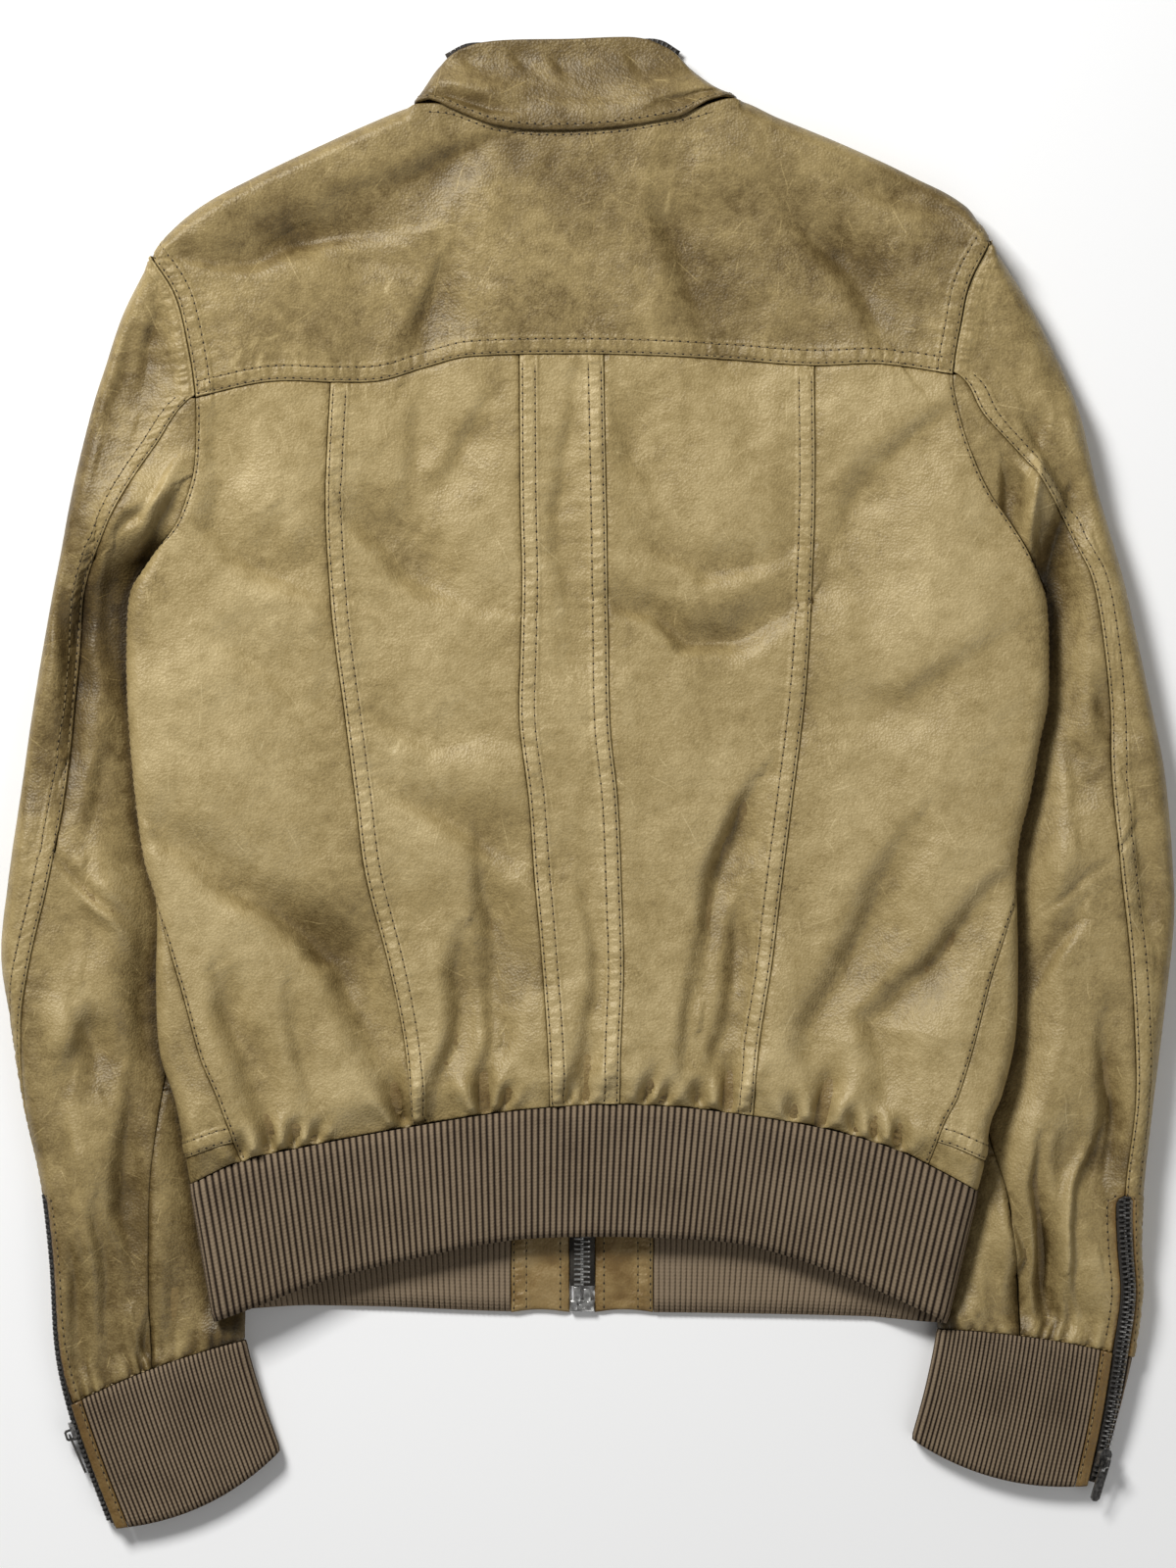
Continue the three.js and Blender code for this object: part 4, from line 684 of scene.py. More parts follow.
def yoke_point(u, v):
    x, y = np.zeros(u.shape), mix(200.0, 300.0, v)
    for _ in range(16):
        x = mix(left_side(y) + SEAM / 2, right_side(y) - SEAM / 2, u)
        radius = shoulder_roll(x)
        whole = shoulder(x) - yoke_seam(x) - radius + quarter(radius)
        arc = mix(whole - SEAM / 2, SEAM, v)
        inwards, rise = over_roll(arc, radius)
        y = mix(y, shoulder(x) - inwards, 0.5)
    top = back_height(x, y)
    lifted = mix(rise, 1, smooth(SHOULDER_ROLL, OPEN_ROLL, radius))
    return x, y, mix(top / 2, top, lifted)


def yoke():
    cloth = leather_piece(
        "back_yoke", yoke_point, spaced(390, 1.15, start=10, end=10, fine=0.7),
        spaced(138, 1.7, start=11, end=14, fine=0.75), (0.5, 1),
        {"low": "band", "left": "band", "right": "band", "high": "plain"}, tone=-0.09, seed=43,
        dip=back_folds)
    for edge in ("low", "left", "right"):
        sew_rows(cloth, edge, STITCH_ROWS)
    sew_rows(cloth, "high", (4.5,), lambda p: (p[:, 0] > NECK_LEFT + 4) & (p[:, 0] < NECK_RIGHT - 14))


# Fronts, flat on the surface, from the zip round each rolled side to its side seam
front_neck = track(
    (-89, 343), (-60, 330), (-30, 320), (ZIP_X, FRONT_NECK_Y), (25, 320), (50, 331), (76, 346))
front_seam = track((-203, -203.5), (-150, FRONT_SEAM_Y), (150, FRONT_SEAM_Y), (199, -207))
band_seam = track((-205, -190.5), (-181.5, -182.5), (-150, -180), (150, -180), (179, -182.5), (203, -192))


def front_shoulder(x):
    return np.where((x > NECK_LEFT) & (x < NECK_RIGHT), front_neck(x), shoulder(x))


def unrolled(x):
    return np.full(x.shape, OPEN_ROLL)


def along_stops(stops, u):
    """The distance at a place u that counts the stretches between stops."""
    k = np.minimum(np.floor(u), len(stops) - 2).astype(int)
    return mix(np.choose(k, stops[:-1]), np.choose(k, stops[1:]), u - k)


def front_point(half, low, high, roll):
    """A front between two levels. Its top rolls up to meet the yoke at the shoulder fold."""
    centre = ZIP_X + half.sign * ZIP_GAP / 2

    def point(u, v):
        y = mix(-200.0, 260.0, v)
        for _ in range(20):
            radius = side_roll(half, y)
            start = radius - quarter(radius)
            tucked = np.maximum(half.sign * (half.side(y) - half.tuck(y)) + 2, 14)
            stops = [half.side_seam(y) - SEAM / 2, -quarter(radius), start - tucked, start - tucked - 36,
                     start - half.sign * (half.side(y) - centre)]
            arc = along_stops(stops, u)
            x = half.side(y) - half.sign * over_roll(np.abs(arc), radius)[0]
            fold = roll(x)
            whole = high(x) - low(x, arc) - fold + quarter(fold)
            inwards, rise = over_roll((1 - v) * whole, fold)
            y = mix(y, high(x) - inwards, 0.5)
        x, y, z = body_side(half, arc, y)
        lowered = mix(rise, 1, smooth(SHOULDER_ROLL, OPEN_ROLL, fold))
        return x, y, mix(back_height(x, y) / 2 - SEAM, z, lowered)

    return point


FRONT_COLUMNS = np.concatenate([
    spaced(60, 1.6, start=4), 1 + spaced(30, 2.5)[1:], 2 + spaced(36, 2.5)[1:], 3 + spaced(140, 4)[1:]])


def front(side, half, tone, seed):
    point = front_point(half, lambda x, arc: band_seam(x) + SEAM / 2, front_shoulder, shoulder_roll)
    cloth = leather_piece(
        f"front_{side}", point, FRONT_COLUMNS, spaced(500, 3, start=BAND + 2, end=16), (0.9, -1),
        {"left": "tucked", "low": "band"}, tone=tone, seed=seed)
    sew_rows(cloth, "low", STITCH_ROWS)
    band = front_point(
        half, lambda x, arc: np.where(arc > 0, hem_seam(x), front_seam(x)) + SEAM / 2,
        lambda x: band_seam(x) - SEAM / 2, unrolled)
    leather_piece(
        f"front_band_{side}", band, FRONT_COLUMNS, spaced(22, 1.2, start=3), (0.9, -1),
        {"left": "tucked", "low": "tucked", "high": "tucked"}, tone=tone, seed=seed + 5)


# Bands that go round: the ribbed hem and the collar

def band_point(left, right, back, fore, top, under, roll, open_left, open_right):
    """s runs 0-1 on the left front, 1-2 over the left edge, 2-3 over the back, 3-4 and 4-5 likewise."""

    def point(s, v):
        on_left = s < 2.5
        sign = np.where(on_left, -1.0, 1.0)
        edge = np.where(on_left, left(v), right(v))
        opening = np.where(on_left, open_left(v), open_right(v))
        t = np.where(on_left, s, 5 - s)
        angle = (t - 1.5) * np.pi
        fore_x = mix(opening, edge - sign * roll, t)
        rolled_x = edge - sign * roll * (1 - np.cos(angle))
        back_x = mix(left(v) + roll, right(v) - roll, s - 2)
        x = np.select([t < 1, t < 2], [fore_x, rolled_x], back_x)
        rise = np.where((t >= 1) & (t < 2), np.abs(np.sin(angle)), 1.0)
        on_back = t >= 1.5
        low_line = np.where(on_back, back[0](x), fore[0](x))
        high_line = np.where(on_back, back[1](x), fore[1](x))
        y = mix(low_line, high_line, v)
        high, low = top(x, y, v), under(x, y)
        return x, y, mix((high + low) / 2, np.where(on_back, high, low), rise)

    return point


def ridge(phase):
    """Height of a rounded knit rib, from 0 in the valley to 1, with a faint groove along its crown."""
    away = np.abs(phase - np.floor(phase) - 0.5) * 2
    return 1 - away ** 4.5 - 0.14 * bell(away, 0.2)


hem_point = band_point(
    left=lambda v: mix(-202.5, -190.5, v),
    right=lambda v: mix(198.5, 182.5, v),
    back=(offset(hem_seam, -SEAM), hem_edge),
    fore=(offset(front_seam, -SEAM), track(
        (-191, -273.5), (-178, -268), (-118, -267.2), (-40, FRONT_HEM_Y - 0.5), (40, FRONT_HEM_Y - 1),
        (143, -272.5), (183, -275))),
    top=lambda x, y, v: mix(MIDDLE_HEIGHT, SIDE_HEIGHT, smooth(90, 200, np.abs(x))) - mix(0.6, 2.5, v)
    - 0.5 * smooth(0.12, 0, v) + 0.4 * ripples(11, 40)(x, y),
    under=front_height,
    roll=EDGE_ROLL,
    open_left=lambda v: TAB_LEFT - SEAM / 2,
    open_right=lambda v: TAB_RIGHT + SEAM / 2)


def ribs_along(counts, points_each):
    """Columns that follow the ribs over each stretch of a band, and the count of ribs up to a place."""
    counts = np.array(counts)
    columns = np.concatenate([[0]] + [
        k + np.linspace(0, 1, count * points_each + 1)[1:] for k, count in enumerate(counts)])
    starts = np.concatenate([[0], np.cumsum(counts)])

    def phase(s):
        k = np.minimum(np.floor(s), len(counts) - 1).astype(int)
        return starts[k] + (s - k) * counts[k]

    return columns, phase


def hem_rib():
    columns, phase = ribs_along((
        round((202.5 + TAB_LEFT) / HEM_RIB_PITCH), 7, round(372 / HEM_RIB_PITCH), 7,
        round((198.5 - TAB_RIGHT) / HEM_RIB_PITCH)), 6)

    def inside(s):
        """One on the fronts, where the knit's inside shows, and zero elsewhere."""
        return np.maximum(smooth(1, 0.9, s), smooth(4, 4.1, s))

    def relief(s, v):
        outside = smooth(0.99, 1.35, s) * smooth(4.01, 3.65, s)
        edge = -0.8 * smooth(0.965, 1, v) - 0.5 * smooth(0.03, 0, v)
        return KNIT_RIDGE * (ridge(phase(s)) - 1 + outside) + edge * outside

    shell(
        "hem_rib_knit", hem_point, columns, np.linspace(0, 1, 15) ** 0.9, KNIT, (0.5, 1), knit, "knit",
        "hem_rib", relief=relief, inner_relief=lambda s, v: KNIT_RIDGE * ridge(phase(s)) * inside(s),
        inner_step=(3, 1), weave=lambda s, v: (phase(s), v * HEM_RIB_DEPTH + KNIT_INSIDE * inside(s)))


def trim_mottle(x, y):
    """Uneven tone of the amber trim, as a depth."""
    return 9 * ripples(23, 9)(x, y) + 5 * ripples(24, 3.5)(x, y) - 3


def amber_trim(cloth):
    return np.full(cloth.face.shape[:2], TRIM_AMBER)


def hem_tab(side, start, end, seed):
    thickness = KNIT + KNIT_RIDGE

    def point(u, v):
        foot = FRONT_HEM_Y - 1 + 1.5 * np.sin(u * np.pi)
        return mix(start, end, u), mix(foot, FRONT_SEAM_Y - SEAM, v), np.full(u.shape, thickness) - 0.4

    def relief(u, v):
        bulge = 0.4 * np.minimum(1, np.minimum(u, 1 - u) * 5)
        return bulge + 0.45 * ripples(seed, 8)(u * 30, v * 66)

    outer, inner = ("left", "right") if side == "left" else ("right", "left")
    cloth = leather_piece(
        f"hem_tab_{side}", point, spaced(30, 0.8), spaced(66, 1), (0.5, 1),
        {outer: "band", inner: "sewn", "low": "plain"}, "leather_trim", thickness - 0.4, relief=relief,
        tone=0.02, seed=seed, amber=amber_trim, dip=trim_mottle)
    sew_rows(cloth, outer, STITCH_ROWS)
    sew_rows(cloth, inner, (4.7,))


collar_edge_left = track((0, -89), (0.12, -87), (0.7, -80), (0.88, -77), (1, -73))
collar_edge_right = track((0, 76), (0.3, 70), (0.7, 60.5), (0.88, 54.5), (1, 47.5))
collar_top = track(
    (-90, 363), (-76, 368), (-70, 372), (-65, 374.8), (-55, 378), (-40, 379.5), (-10, 380), (20, 381),
    (30, 379.8), (36, 377.5), (44, 373.5), (53, 367), (76, 358))
COLLAR_FOLDS = creases(
    (3.4, 2.6, (-92, 352), (-72, 350), (-50, 343), (-36, 342)), (3.2, 2.6, (78, 354), (58, 352), (36, 346)),
    (-1.6, 5, (-84, 362), (-62, 356), (-40, 350)), (-1.6, 5, (68, 362), (50, 358), (30, 352)),
    (1.4, 4, (-66, 374), (-56, 362), (-40, 358)), (1.2, 4, (-20, 372), (-8, 360)),
    (1.2, 4, (20, 374), (28, 360)), (1.2, 3.5, (-40, 374), (-30, 364)), (1, 5, (-24, 350), (24, 350)),
)


def collar_foot(x):
    lap = smooth(-82, -66, x) * smooth(62, 46, x)
    return shoulder(np.clip(x, -80, 75)) + mix(1.8, -COLLAR_LAP, lap)


def collar_height(x, y, v):
    foot = back_height(x, shoulder(x)) + LEATHER + 0.9
    return mix(foot, COLLAR_HEIGHT, smooth(0.1, 0.9, v)) + total(COLLAR_FOLDS, x, y) * smooth(0, 0.2, v)


collar_point = band_point(
    left=collar_edge_left,
    right=collar_edge_right,
    back=(collar_foot, collar_top),
    fore=(lambda x: front_neck(x) + 1, offset(collar_top, -2)),
    top=collar_height,
    under=front_height,
    roll=COLLAR_ROLL,
    open_left=lambda v: mix(ZIP_X - ZIP_GAP / 2, -48, v),
    open_right=lambda v: mix(ZIP_X + ZIP_GAP / 2, 24, v))


def collar():
    columns, _ = ribs_along((20, 14, 130, 14, 20), 1)
    cloth = leather_piece(
        "collar", collar_point, columns, spaced(44, 0.9), (0.5, 1), {"low": "tucked", "high": "plain"},
        tone=-0.17, seed=31, dip=lambda x, y: total(COLLAR_FOLDS, x, y))
    sew_rows(cloth, "low", (3.2,), lambda p: p[:, 2] > 10)


# Sleeves. Stations from the shoulder tip to the end of the cuff: outer edge x and y, inner edge y
LEFT_STATIONS = [
    (-222.4, 268.6, 267.6), (-237, 240, 240), (-246.5, 212, 212), (-252, 195, 196), (-258, 172, 172),
    (-264, 145, 150), (-269, 118, 129), (-274.5, 90, 106), (-283, 40, 55), (-290, -8, 0), (-296, -50, -50),
    (-299.5, -88, -95), (-294, -125, -138), (-287, -168, -180), (-279, -205, -218), (-274.5, -245, -248),
    (-272, -288, -270), (-266, -318, -284), (-256, -349, -312), (-244, -380.5, -341)]
RIGHT_STATIONS = [
    (204.9, 276.4, 275.3), (222, 250, 247), (235, 226, 226), (244, 207, 208), (252, 185, 187),
    (260, 150, 157), (268.5, 121, 120.5), (275, 97, 98), (287.5, 40, 50), (294.5, 5, 0), (298.5, -40, -50),
    (299.3, -70, -95), (294.5, -115, -140), (289, -160, -180), (284, -205, -215), (282.5, -235, -245),
    (283, -262, -268), (278.3, -293, -278.5), (270.3, -326, -307), (261, -358, -335)]
sleeve_height = track(
    (0, 25), (6, 24), (7, 23), (10, 22), (13, 20.5), (14, 20), (16, 16.5), (17, 13), (18, 11), (19, 10))
cuff_bow = track((15, 0), (17, -3), (18, 3), (19, 9))


def arm_of(half, stations, folds, back_seam, inseam):
    columns = [track(*[(t, station[k]) for t, station in enumerate(stations)]) for k in range(3)]
    return SimpleNamespace(
        **vars(half), outer_x=columns[0], outer_y=columns[1], inner_y=columns[2], folds=folds,
        back_seam=back_seam, inseam=inseam)


LEFT_ARM = arm_of(
    LEFT, LEFT_STATIONS, LEFT_SLEEVE_FOLDS,
    track((2.6, 70), (3, 54.5), (4, 43), (5, 33), (6, 26), (7, 23.6), (8, 27), (9, 28.6), (10, 26.6),
          (11, 21), (12, 10), (13, 2), (14, 1), (19, 1)),
    track((7, 0), (8, 10), (9, 16), (10, 22), (11, 28), (12, 37), (13, 44), (14, 49), (17, 52)))
RIGHT_ARM = arm_of(
    RIGHT, RIGHT_STATIONS, RIGHT_SLEEVE_FOLDS,
    track((2.6, 78), (3, 60.5), (4, 55), (5, 34), (6, 25), (7, 22), (8, 27), (9, 33), (10, 32.6), (11, 30),
          (12, 22), (13, 15.6), (14, 15.5), (15, 13.5), (16, 11.5), (17, 9.5), (18, 6.5), (19, 4)),
    track((7, 0), (8, 8), (9, 12), (10, 16), (11, 20), (12, 24), (13, 28), (14, 39), (15, 43), (17, 44)))


def section(arm, t):
    inner_y = arm.inner_y(t)
    inner_x = np.where(t <= UNDERARM, arm.side(inner_y), arm.tuck(inner_y)) + arm.sign * SEAM
    outer_x, outer_y = arm.outer_x(t), arm.outer_y(t)
    width = np.hypot(inner_x - outer_x, inner_y - outer_y)
    outer_roll = np.minimum(mix(SLEEVE_ROLL, 5, smooth(15, 17.5, t)), width * 0.42)
    tucked_roll = mix(OPEN_ROLL, TUCKED_ROLL, smooth(UNDERARM - 0.8, UNDERARM + 1, t))
    inner_roll = np.minimum(tucked_roll, width * 0.1)
    return SimpleNamespace(
        outer_x=outer_x, outer_y=outer_y, width=width, outer_roll=outer_roll, inner_roll=inner_roll,
        across_x=(inner_x - outer_x) / width, across_y=(inner_y - outer_y) / width,
        closed=smooth(UNDERARM - 0.8, UNDERARM + 0.2, t),
        length=width - outer_roll - inner_roll + quarter(outer_roll) + quarter(inner_roll))


def sleeve_top(arm, t, x, y):
    tucked = smooth(arm.armhole_end + 4, arm.armhole_end - 18, y) * smooth(-300, -282, y)
    free = smooth(-1, 25, arm.sign * (x - arm.side(y)))
    shown = mix(1, free, tucked)
    full = 1 - (1 - shown) * (1 - smooth(15.4, 17, t))
    height = mix(TUCKED_HEIGHT, sleeve_height(t), full)
    soft = smooth(17.4, 16.4, t)
    return height + (SLEEVE_DEPTH * total(arm.folds, *wander(x, y)) + uneven(x, y)) * shown * soft


def sleeve_point(arm, t, around):
    """The face of a sleeve by station and distance round it from its outer edge, above zero over the top."""
    cut = section(arm, t)
    on_top = (around >= 0) | (around < -cut.length)
    along = np.where(around < -cut.length, 2 * cut.length + around, np.abs(around))
    angle = along / cut.outer_roll
    inner_angle = (cut.length - along) / cut.inner_roll
    outside = along < quarter(cut.outer_roll)
    inside = along > cut.length - quarter(cut.inner_roll)
    inwards = np.select(
        [outside, inside],
        [cut.outer_roll * (1 - np.cos(angle)), cut.width - cut.inner_roll * (1 - np.cos(inner_angle))],
        along - quarter(cut.outer_roll) + cut.outer_roll)
    rise = np.select([outside, inside], [np.sin(angle), mix(1, np.sin(inner_angle), cut.closed)], 1.0)
    share = inwards / cut.width
    bow = np.where(on_top, cuff_bow(t) * 4 * share * (1 - share), 0)
    x = cut.outer_x + cut.across_x * inwards - arm.sign * cut.across_y * bow
    y = cut.outer_y + cut.across_y * inwards + arm.sign * cut.across_x * bow
    middle = sleeve_top(arm, t, x, y) / 2
    return x, y, middle + np.where(on_top, middle, -middle) * rise


def zip_opening(t):
    return mix(SEAM / 2, ZIP_HALF + SEAM, smooth(ZIP_TOP + 0.1, ZIP_TOP + 0.17, t))


def near_zip(cloth):
    """Amber where the leather is dyed, along the opening of the cuff zip."""
    return smooth(ZIP_TOP - 0.1, ZIP_TOP + 0.2, cloth.stations) * np.exp(-cloth.gaps["left"] / 2.2)


def sleeve(side, arm, corner_y, seed):
    def upper(u, t):
        length = section(arm, t).length
        start = np.minimum(length, arm.back_seam(t) - zip_opening(t))
        return sleeve_point(arm, t, mix(start, -length - arm.inseam(t) + SEAM / 2, u))

    def under(u, t):
        outer_end = arm.back_seam(t) + zip_opening(t)
        inner_end = section(arm, t).length - arm.inseam(t) - np.where(t > UNDERARM, SEAM / 2, 0)
        return sleeve_point(arm, t, mix(outer_end, np.maximum(inner_end, outer_end + 1), u))

    last = CUFF_SEAM - CUFF_GAP
    rows = np.concatenate([np.linspace(0, 13.7, 340)[:-1], np.linspace(13.7, 14.3, 16)[:-1],
                           np.linspace(14.3, last, 90)])
    outer = spaced(170, 2.2, start=12, fine=0.8)
    columns = np.concatenate([outer[outer < 0.36], np.linspace(0.36, 1, 34)])

    # The depth painted into the sleeve's tone: its creases, painted darker in their troughs as shade, and
    # painted shadow beside the body's side edge below the armhole, up to 16 mm out and darkest within 7 mm,
    # where the sleeve goes under the body.
    def folds(x, y):
        out = arm.sign * (x - arm.side(y))
        shade_beside_body = smooth(16, 0, out) * smooth(arm.armhole_end + 20, arm.armhole_end - 10, y)
        close = smooth(7, 0, out) * smooth(arm.armhole_end + 2, arm.armhole_end - 16, y)
        return SLEEVE_DEPTH * total(arm.folds, *wander(x, y)) + uneven(x, y) - 4 * shade_beside_body - 11 * close

    cloth = leather_piece(
        f"sleeve_{side}_upper", upper, columns, rows, (0.6, -1),
        {"left": "band", "right": "tucked", "high": "gathered"}, tone=-0.03, seed=seed, dip=folds,
        amber=near_zip)
    sew_rows(cloth, "left", STITCH_ROWS, lambda p: p[:, 1] < corner_y)
    stations = np.linspace(0, UNDERARM, 400)
    corner = np.interp(-corner_y, -arm.inner_y(stations), stations)
    cloth = leather_piece(
        f"sleeve_{side}_under", under, spaced(75, 1.5, start=4, end=2), rows[rows > corner], (0.3, 1),
        {"left": "tucked", "right": "plain", "high": "gathered"}, tone=-0.05, seed=seed + 3, dip=folds,
        amber=near_zip)
    zip_start = float(arm.outer_y(np.array(ZIP_TOP + 0.1)))
    sew_rows(cloth, "left", (4.5,), lambda p: p[:, 1] < zip_start)


def cuff(side, arm):
    def start(t):
        return arm.back_seam(t) + ZIP_HALF + BINDING + 2 * SEAM

    def distance(u, t):
        cut = section(arm, t)
        bend = quarter(cut.inner_roll)
        zip_end = 2 * cut.length + arm.back_seam(t) - ZIP_HALF - SEAM
        return along_stops([start(t), cut.length - bend, cut.length + bend, zip_end], u), cut.length

    def point(u, t):
        along, length = distance(u, t)
        return sleeve_point(arm, t, np.where(along > length, along - 2 * length, along))

    middle = np.array(CUFF_SEAM + 1.0)
    shown = round((float(section(arm, middle).length) - float(start(middle))) / CUFF_RIB_PITCH)
    columns, phase = ribs_along((shown, 5, shown), 7)

    def relief(u, t):
        on_top = smooth(1.75, 1.35, u)
        edge = -0.7 * smooth(CUFF_END - 0.07, CUFF_END, t) - 0.5 * smooth(CUFF_SEAM + 0.06, CUFF_SEAM, t)
        return KNIT_RIDGE * (ridge(phase(u)) - 1 + on_top) + edge * on_top

    shell(
        f"cuff_rib_{side}_knit", point, columns, np.linspace(CUFF_SEAM + CUFF_GAP, CUFF_END, 22), KNIT,
        (0.2, 1), knit, "knit", f"cuff_rib_{side}", relief=relief,
        weave=lambda u, t: (phase(u), (t - CUFF_SEAM) * CUFF_STATION))


# Zips

def strip_edges(side, arm):
    """Tape and teeth of a cuff zip, and the leather binding beside it."""

    def point(u, t):
        return sleeve_point(arm, t, arm.back_seam(t) + u)

    rows = np.linspace(ZIP_TOP + 0.11, CUFF_END - 0.08, 90)
    tape = shell(
        f"sleeve_zip_{side}_tape", point, np.linspace(-ZIP_HALF, ZIP_HALF, 9), rows, 0.9 - TAPE_SUNK, (1, 1),
        zip_tape, "zip_tape", f"sleeve_zip_{side}", relief=lambda u, t: -TAPE_SUNK * np.ones(u.shape),
        inner_relief=lambda u, t: TAPE_SUNK * np.ones(u.shape), weave=lambda u, t: (u, t))
    chain(f"sleeve_zip_{side}_teeth", tape.face[:, 4], tape.normals[:, 4], 0.3, gunmetal)
    binding_columns = np.linspace(ZIP_HALF + SEAM, ZIP_HALF + SEAM + BINDING, 13)
    cloth = leather_piece(
        f"cuff_binding_{side}", point, binding_columns, np.linspace(CUFF_SEAM + CUFF_GAP, CUFF_END, 70),
        (1, 1), {"left": "sewn", "right": "sewn", "high": "plain"}, "leather_trim", KNIT,
        relief=lambda u, t: KNIT_RIDGE * np.ones(u.shape), tone=-0.26, seed=71, amber=amber_trim,
        dip=trim_mottle)
    sew_rows(cloth, "right", (1.3,))


def unit(vectors):
    return vectors / np.maximum(np.linalg.norm(vectors, axis=-1, keepdims=True), 1e-9)


def measured(points):
    """The length of a line of points, and a function for the values at lengths along it."""
    lengths = np.concatenate([[0], np.cumsum(np.linalg.norm(np.diff(points, axis=0), axis=1))])

    def at(values, s):
        return np.stack([np.interp(s, lengths, values[:, k]) for k in range(3)], axis=-1)

    return lengths[-1], at


def ring_quads(rings, count):
    """Faces between rings of points, each with the same count."""
    sides = [(k, (k + 1) % count, count + (k + 1) % count, count + k) for k in range(count)]
    return [tuple(ring * count + corner for corner in side) for ring in range(rings - 1) for side in sides]


def chain(name, points, outwards, lift, metal, sides=(-1, 1), reach=TOOTH_REACH):
    """Teeth along a line, the two sides set half a pitch apart."""
    length, at = measured(points)
    paired = len(sides) > 1
    half_width = (0.6 if paired else 0.5) * reach
    shift = reach - half_width if paired else 0.0
    blocks = []
    for side in sides:
        places = np.arange(0.8 + (0.5 + 0.5 * side) * TOOTH_PITCH / 2, length - 0.8, TOOTH_PITCH)
        along = unit(at(points, places + 0.5) - at(points, places - 0.5))
        up = at(outwards, places)
        up = unit(up - along * np.sum(up * along, axis=1, keepdims=True))
        across = np.cross(along, up) * (side if paired else 1)
        middles = at(points, places) + up * lift + across * shift
        blocks.append((middles, along * 0.62, across * half_width, up))
    middles, along, across, up = (np.concatenate(values) for values in zip(*blocks))
    corners = []
    for height, size in ((-1.1, 0.72), (-0.75, 1), (0.75, 1), (1.1, 0.72), (1.26, 0.3)):
        for a, b in ((-1, -1), (1, -1), (1, 1), (-1, 1)):
            corners.append(middles + along * a * size + across * b * mix(1, size, 0.6) + up * height)
    quads = [(3, 2, 1, 0), (16, 17, 18, 19)] + ring_quads(5, 4)
    piece = repeated(name, np.stack(corners, axis=1), quads, metal, "zip_metal")
    piece.data.polygons.foreach_set("use_smooth", np.zeros(len(piece.data.polygons), bool))


def zip_level(x, y):
    return ZIP_Z + front_height(x, y)


def upwards(points):
    return np.tile([0.0, 0.0, 1.0], (len(points), 1))


def front_zip():
    rows = np.concatenate([np.linspace(FRONT_ZIP_LOW, 240, 120), np.linspace(241, 304, 40)])
    tape = shell(
        "front_zip_tape", lambda u, y: (ZIP_X + u, y, zip_level(ZIP_X + 0 * u, y) - 0.4),
        np.linspace(-6.2, 6.2, 9), rows, 0.8, (0.5, -1), dark_tape, "zip_tape", "front_zip")
    middle = tape.face[:, 4] + np.array([0, 0, 0.4])
    chain("front_zip_teeth", middle, upwards(middle), 0, steel, reach=FRONT_TOOTH_REACH)


def rounded(points, count=16):
    """Points along a smooth curve through the points of a path in plan."""
    spots = np.array(points, float)
    padded = np.concatenate([[2 * spots[0] - spots[1]], spots, [2 * spots[-1] - spots[-2]]])
    t = np.linspace(0, 1, count, endpoint=False)[:, None]
    pieces = []
    for a, b, c, d in zip(padded, padded[1:], padded[2:], padded[3:]):
        bend = a - 2.5 * b + 2 * c - d / 2 + t * (1.5 * (b - c) + (d - a) / 2)
        pieces.append(b + t * ((c - a) / 2 + t * bend))
    return np.concatenate(pieces + [spots[-1:]])


# Half chains from the top of the front zip along the ends of the collar: x and y of each path
LEFT_COLLAR_CHAIN = [
    (-5.3, 305), (-5.6, 314), (-9, 324), (-41, 372), (-50, 378.2), (-62, 378.5), (-73, 373)]
RIGHT_COLLAR_CHAIN = [
    (-0.7, 305), (-0.7, 314), (1.5, 323), (19, 373), (26, 380), (37, 380.2), (47, 374.5)]


def half_chain(side, points, outwards):
    path = rounded(points)
    ahead = unit(np.gradient(path, axis=0))
    path = path - outwards * CHAIN_UNDER * np.stack([ahead[:, 1], -ahead[:, 0]], axis=1)

    def point(u, v):
        k = v.astype(int)
        x, y = path[k, 0], path[k, 1]
        return x + ahead[k, 1] * u, y - ahead[k, 0] * u, zip_level(x, np.minimum(y, 340)) + 0.3

    tape = shell(
        f"collar_zip_{side}_tape", point, np.linspace(-1.6, 1.6, 3), np.arange(len(path)), 0.8, (0.5, -1),
        dark_tape, "zip_tape", f"collar_zip_{side}")
    middle = tape.face[:, 1] + np.array([0, 0, 0.1])
    chain(f"collar_zip_{side}_teeth", middle, upwards(middle), 0, gunmetal, sides=(1,))


def zip_box():
    """The front zip's box: a base with two lips, a pin and a stop, within the box of its solid."""
    low, high = (np.array(corner) * 1000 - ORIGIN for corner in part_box("front_zip_box"))
    bars = [
        ((0.0, 0.0, 0.0), (1.0, 0.46, 0.8)), ((0.04, 0.06, 0.7), (0.3, 0.42, 1.0)),
        ((0.7, 0.06, 0.7), (0.96, 0.42, 1.0)), ((0.14, 0.4, 0.1), (0.44, 1.0, 0.9)),
        ((0.56, 0.4, 0.1), (0.86, 0.92, 0.9)), ((0.36, 0.1, 0.7), (0.64, 0.3, 0.94)),
    ]
    shares = [
        [(a, b, c) for c in (low_c, high_c) for a, b in (
            (low_a, low_b), (high_a, low_b), (high_a, high_b), (low_a, high_b))]
        for (low_a, low_b, low_c), (high_a, high_b, high_c) in bars]
    quads = [(3, 2, 1, 0), (4, 5, 6, 7)] + ring_quads(2, 4)
    piece = repeated("zip_box_metal", mix(low, high, np.array(shares)), quads, steel, "zip_metal")
    soften(piece)
    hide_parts("front_zip_box")


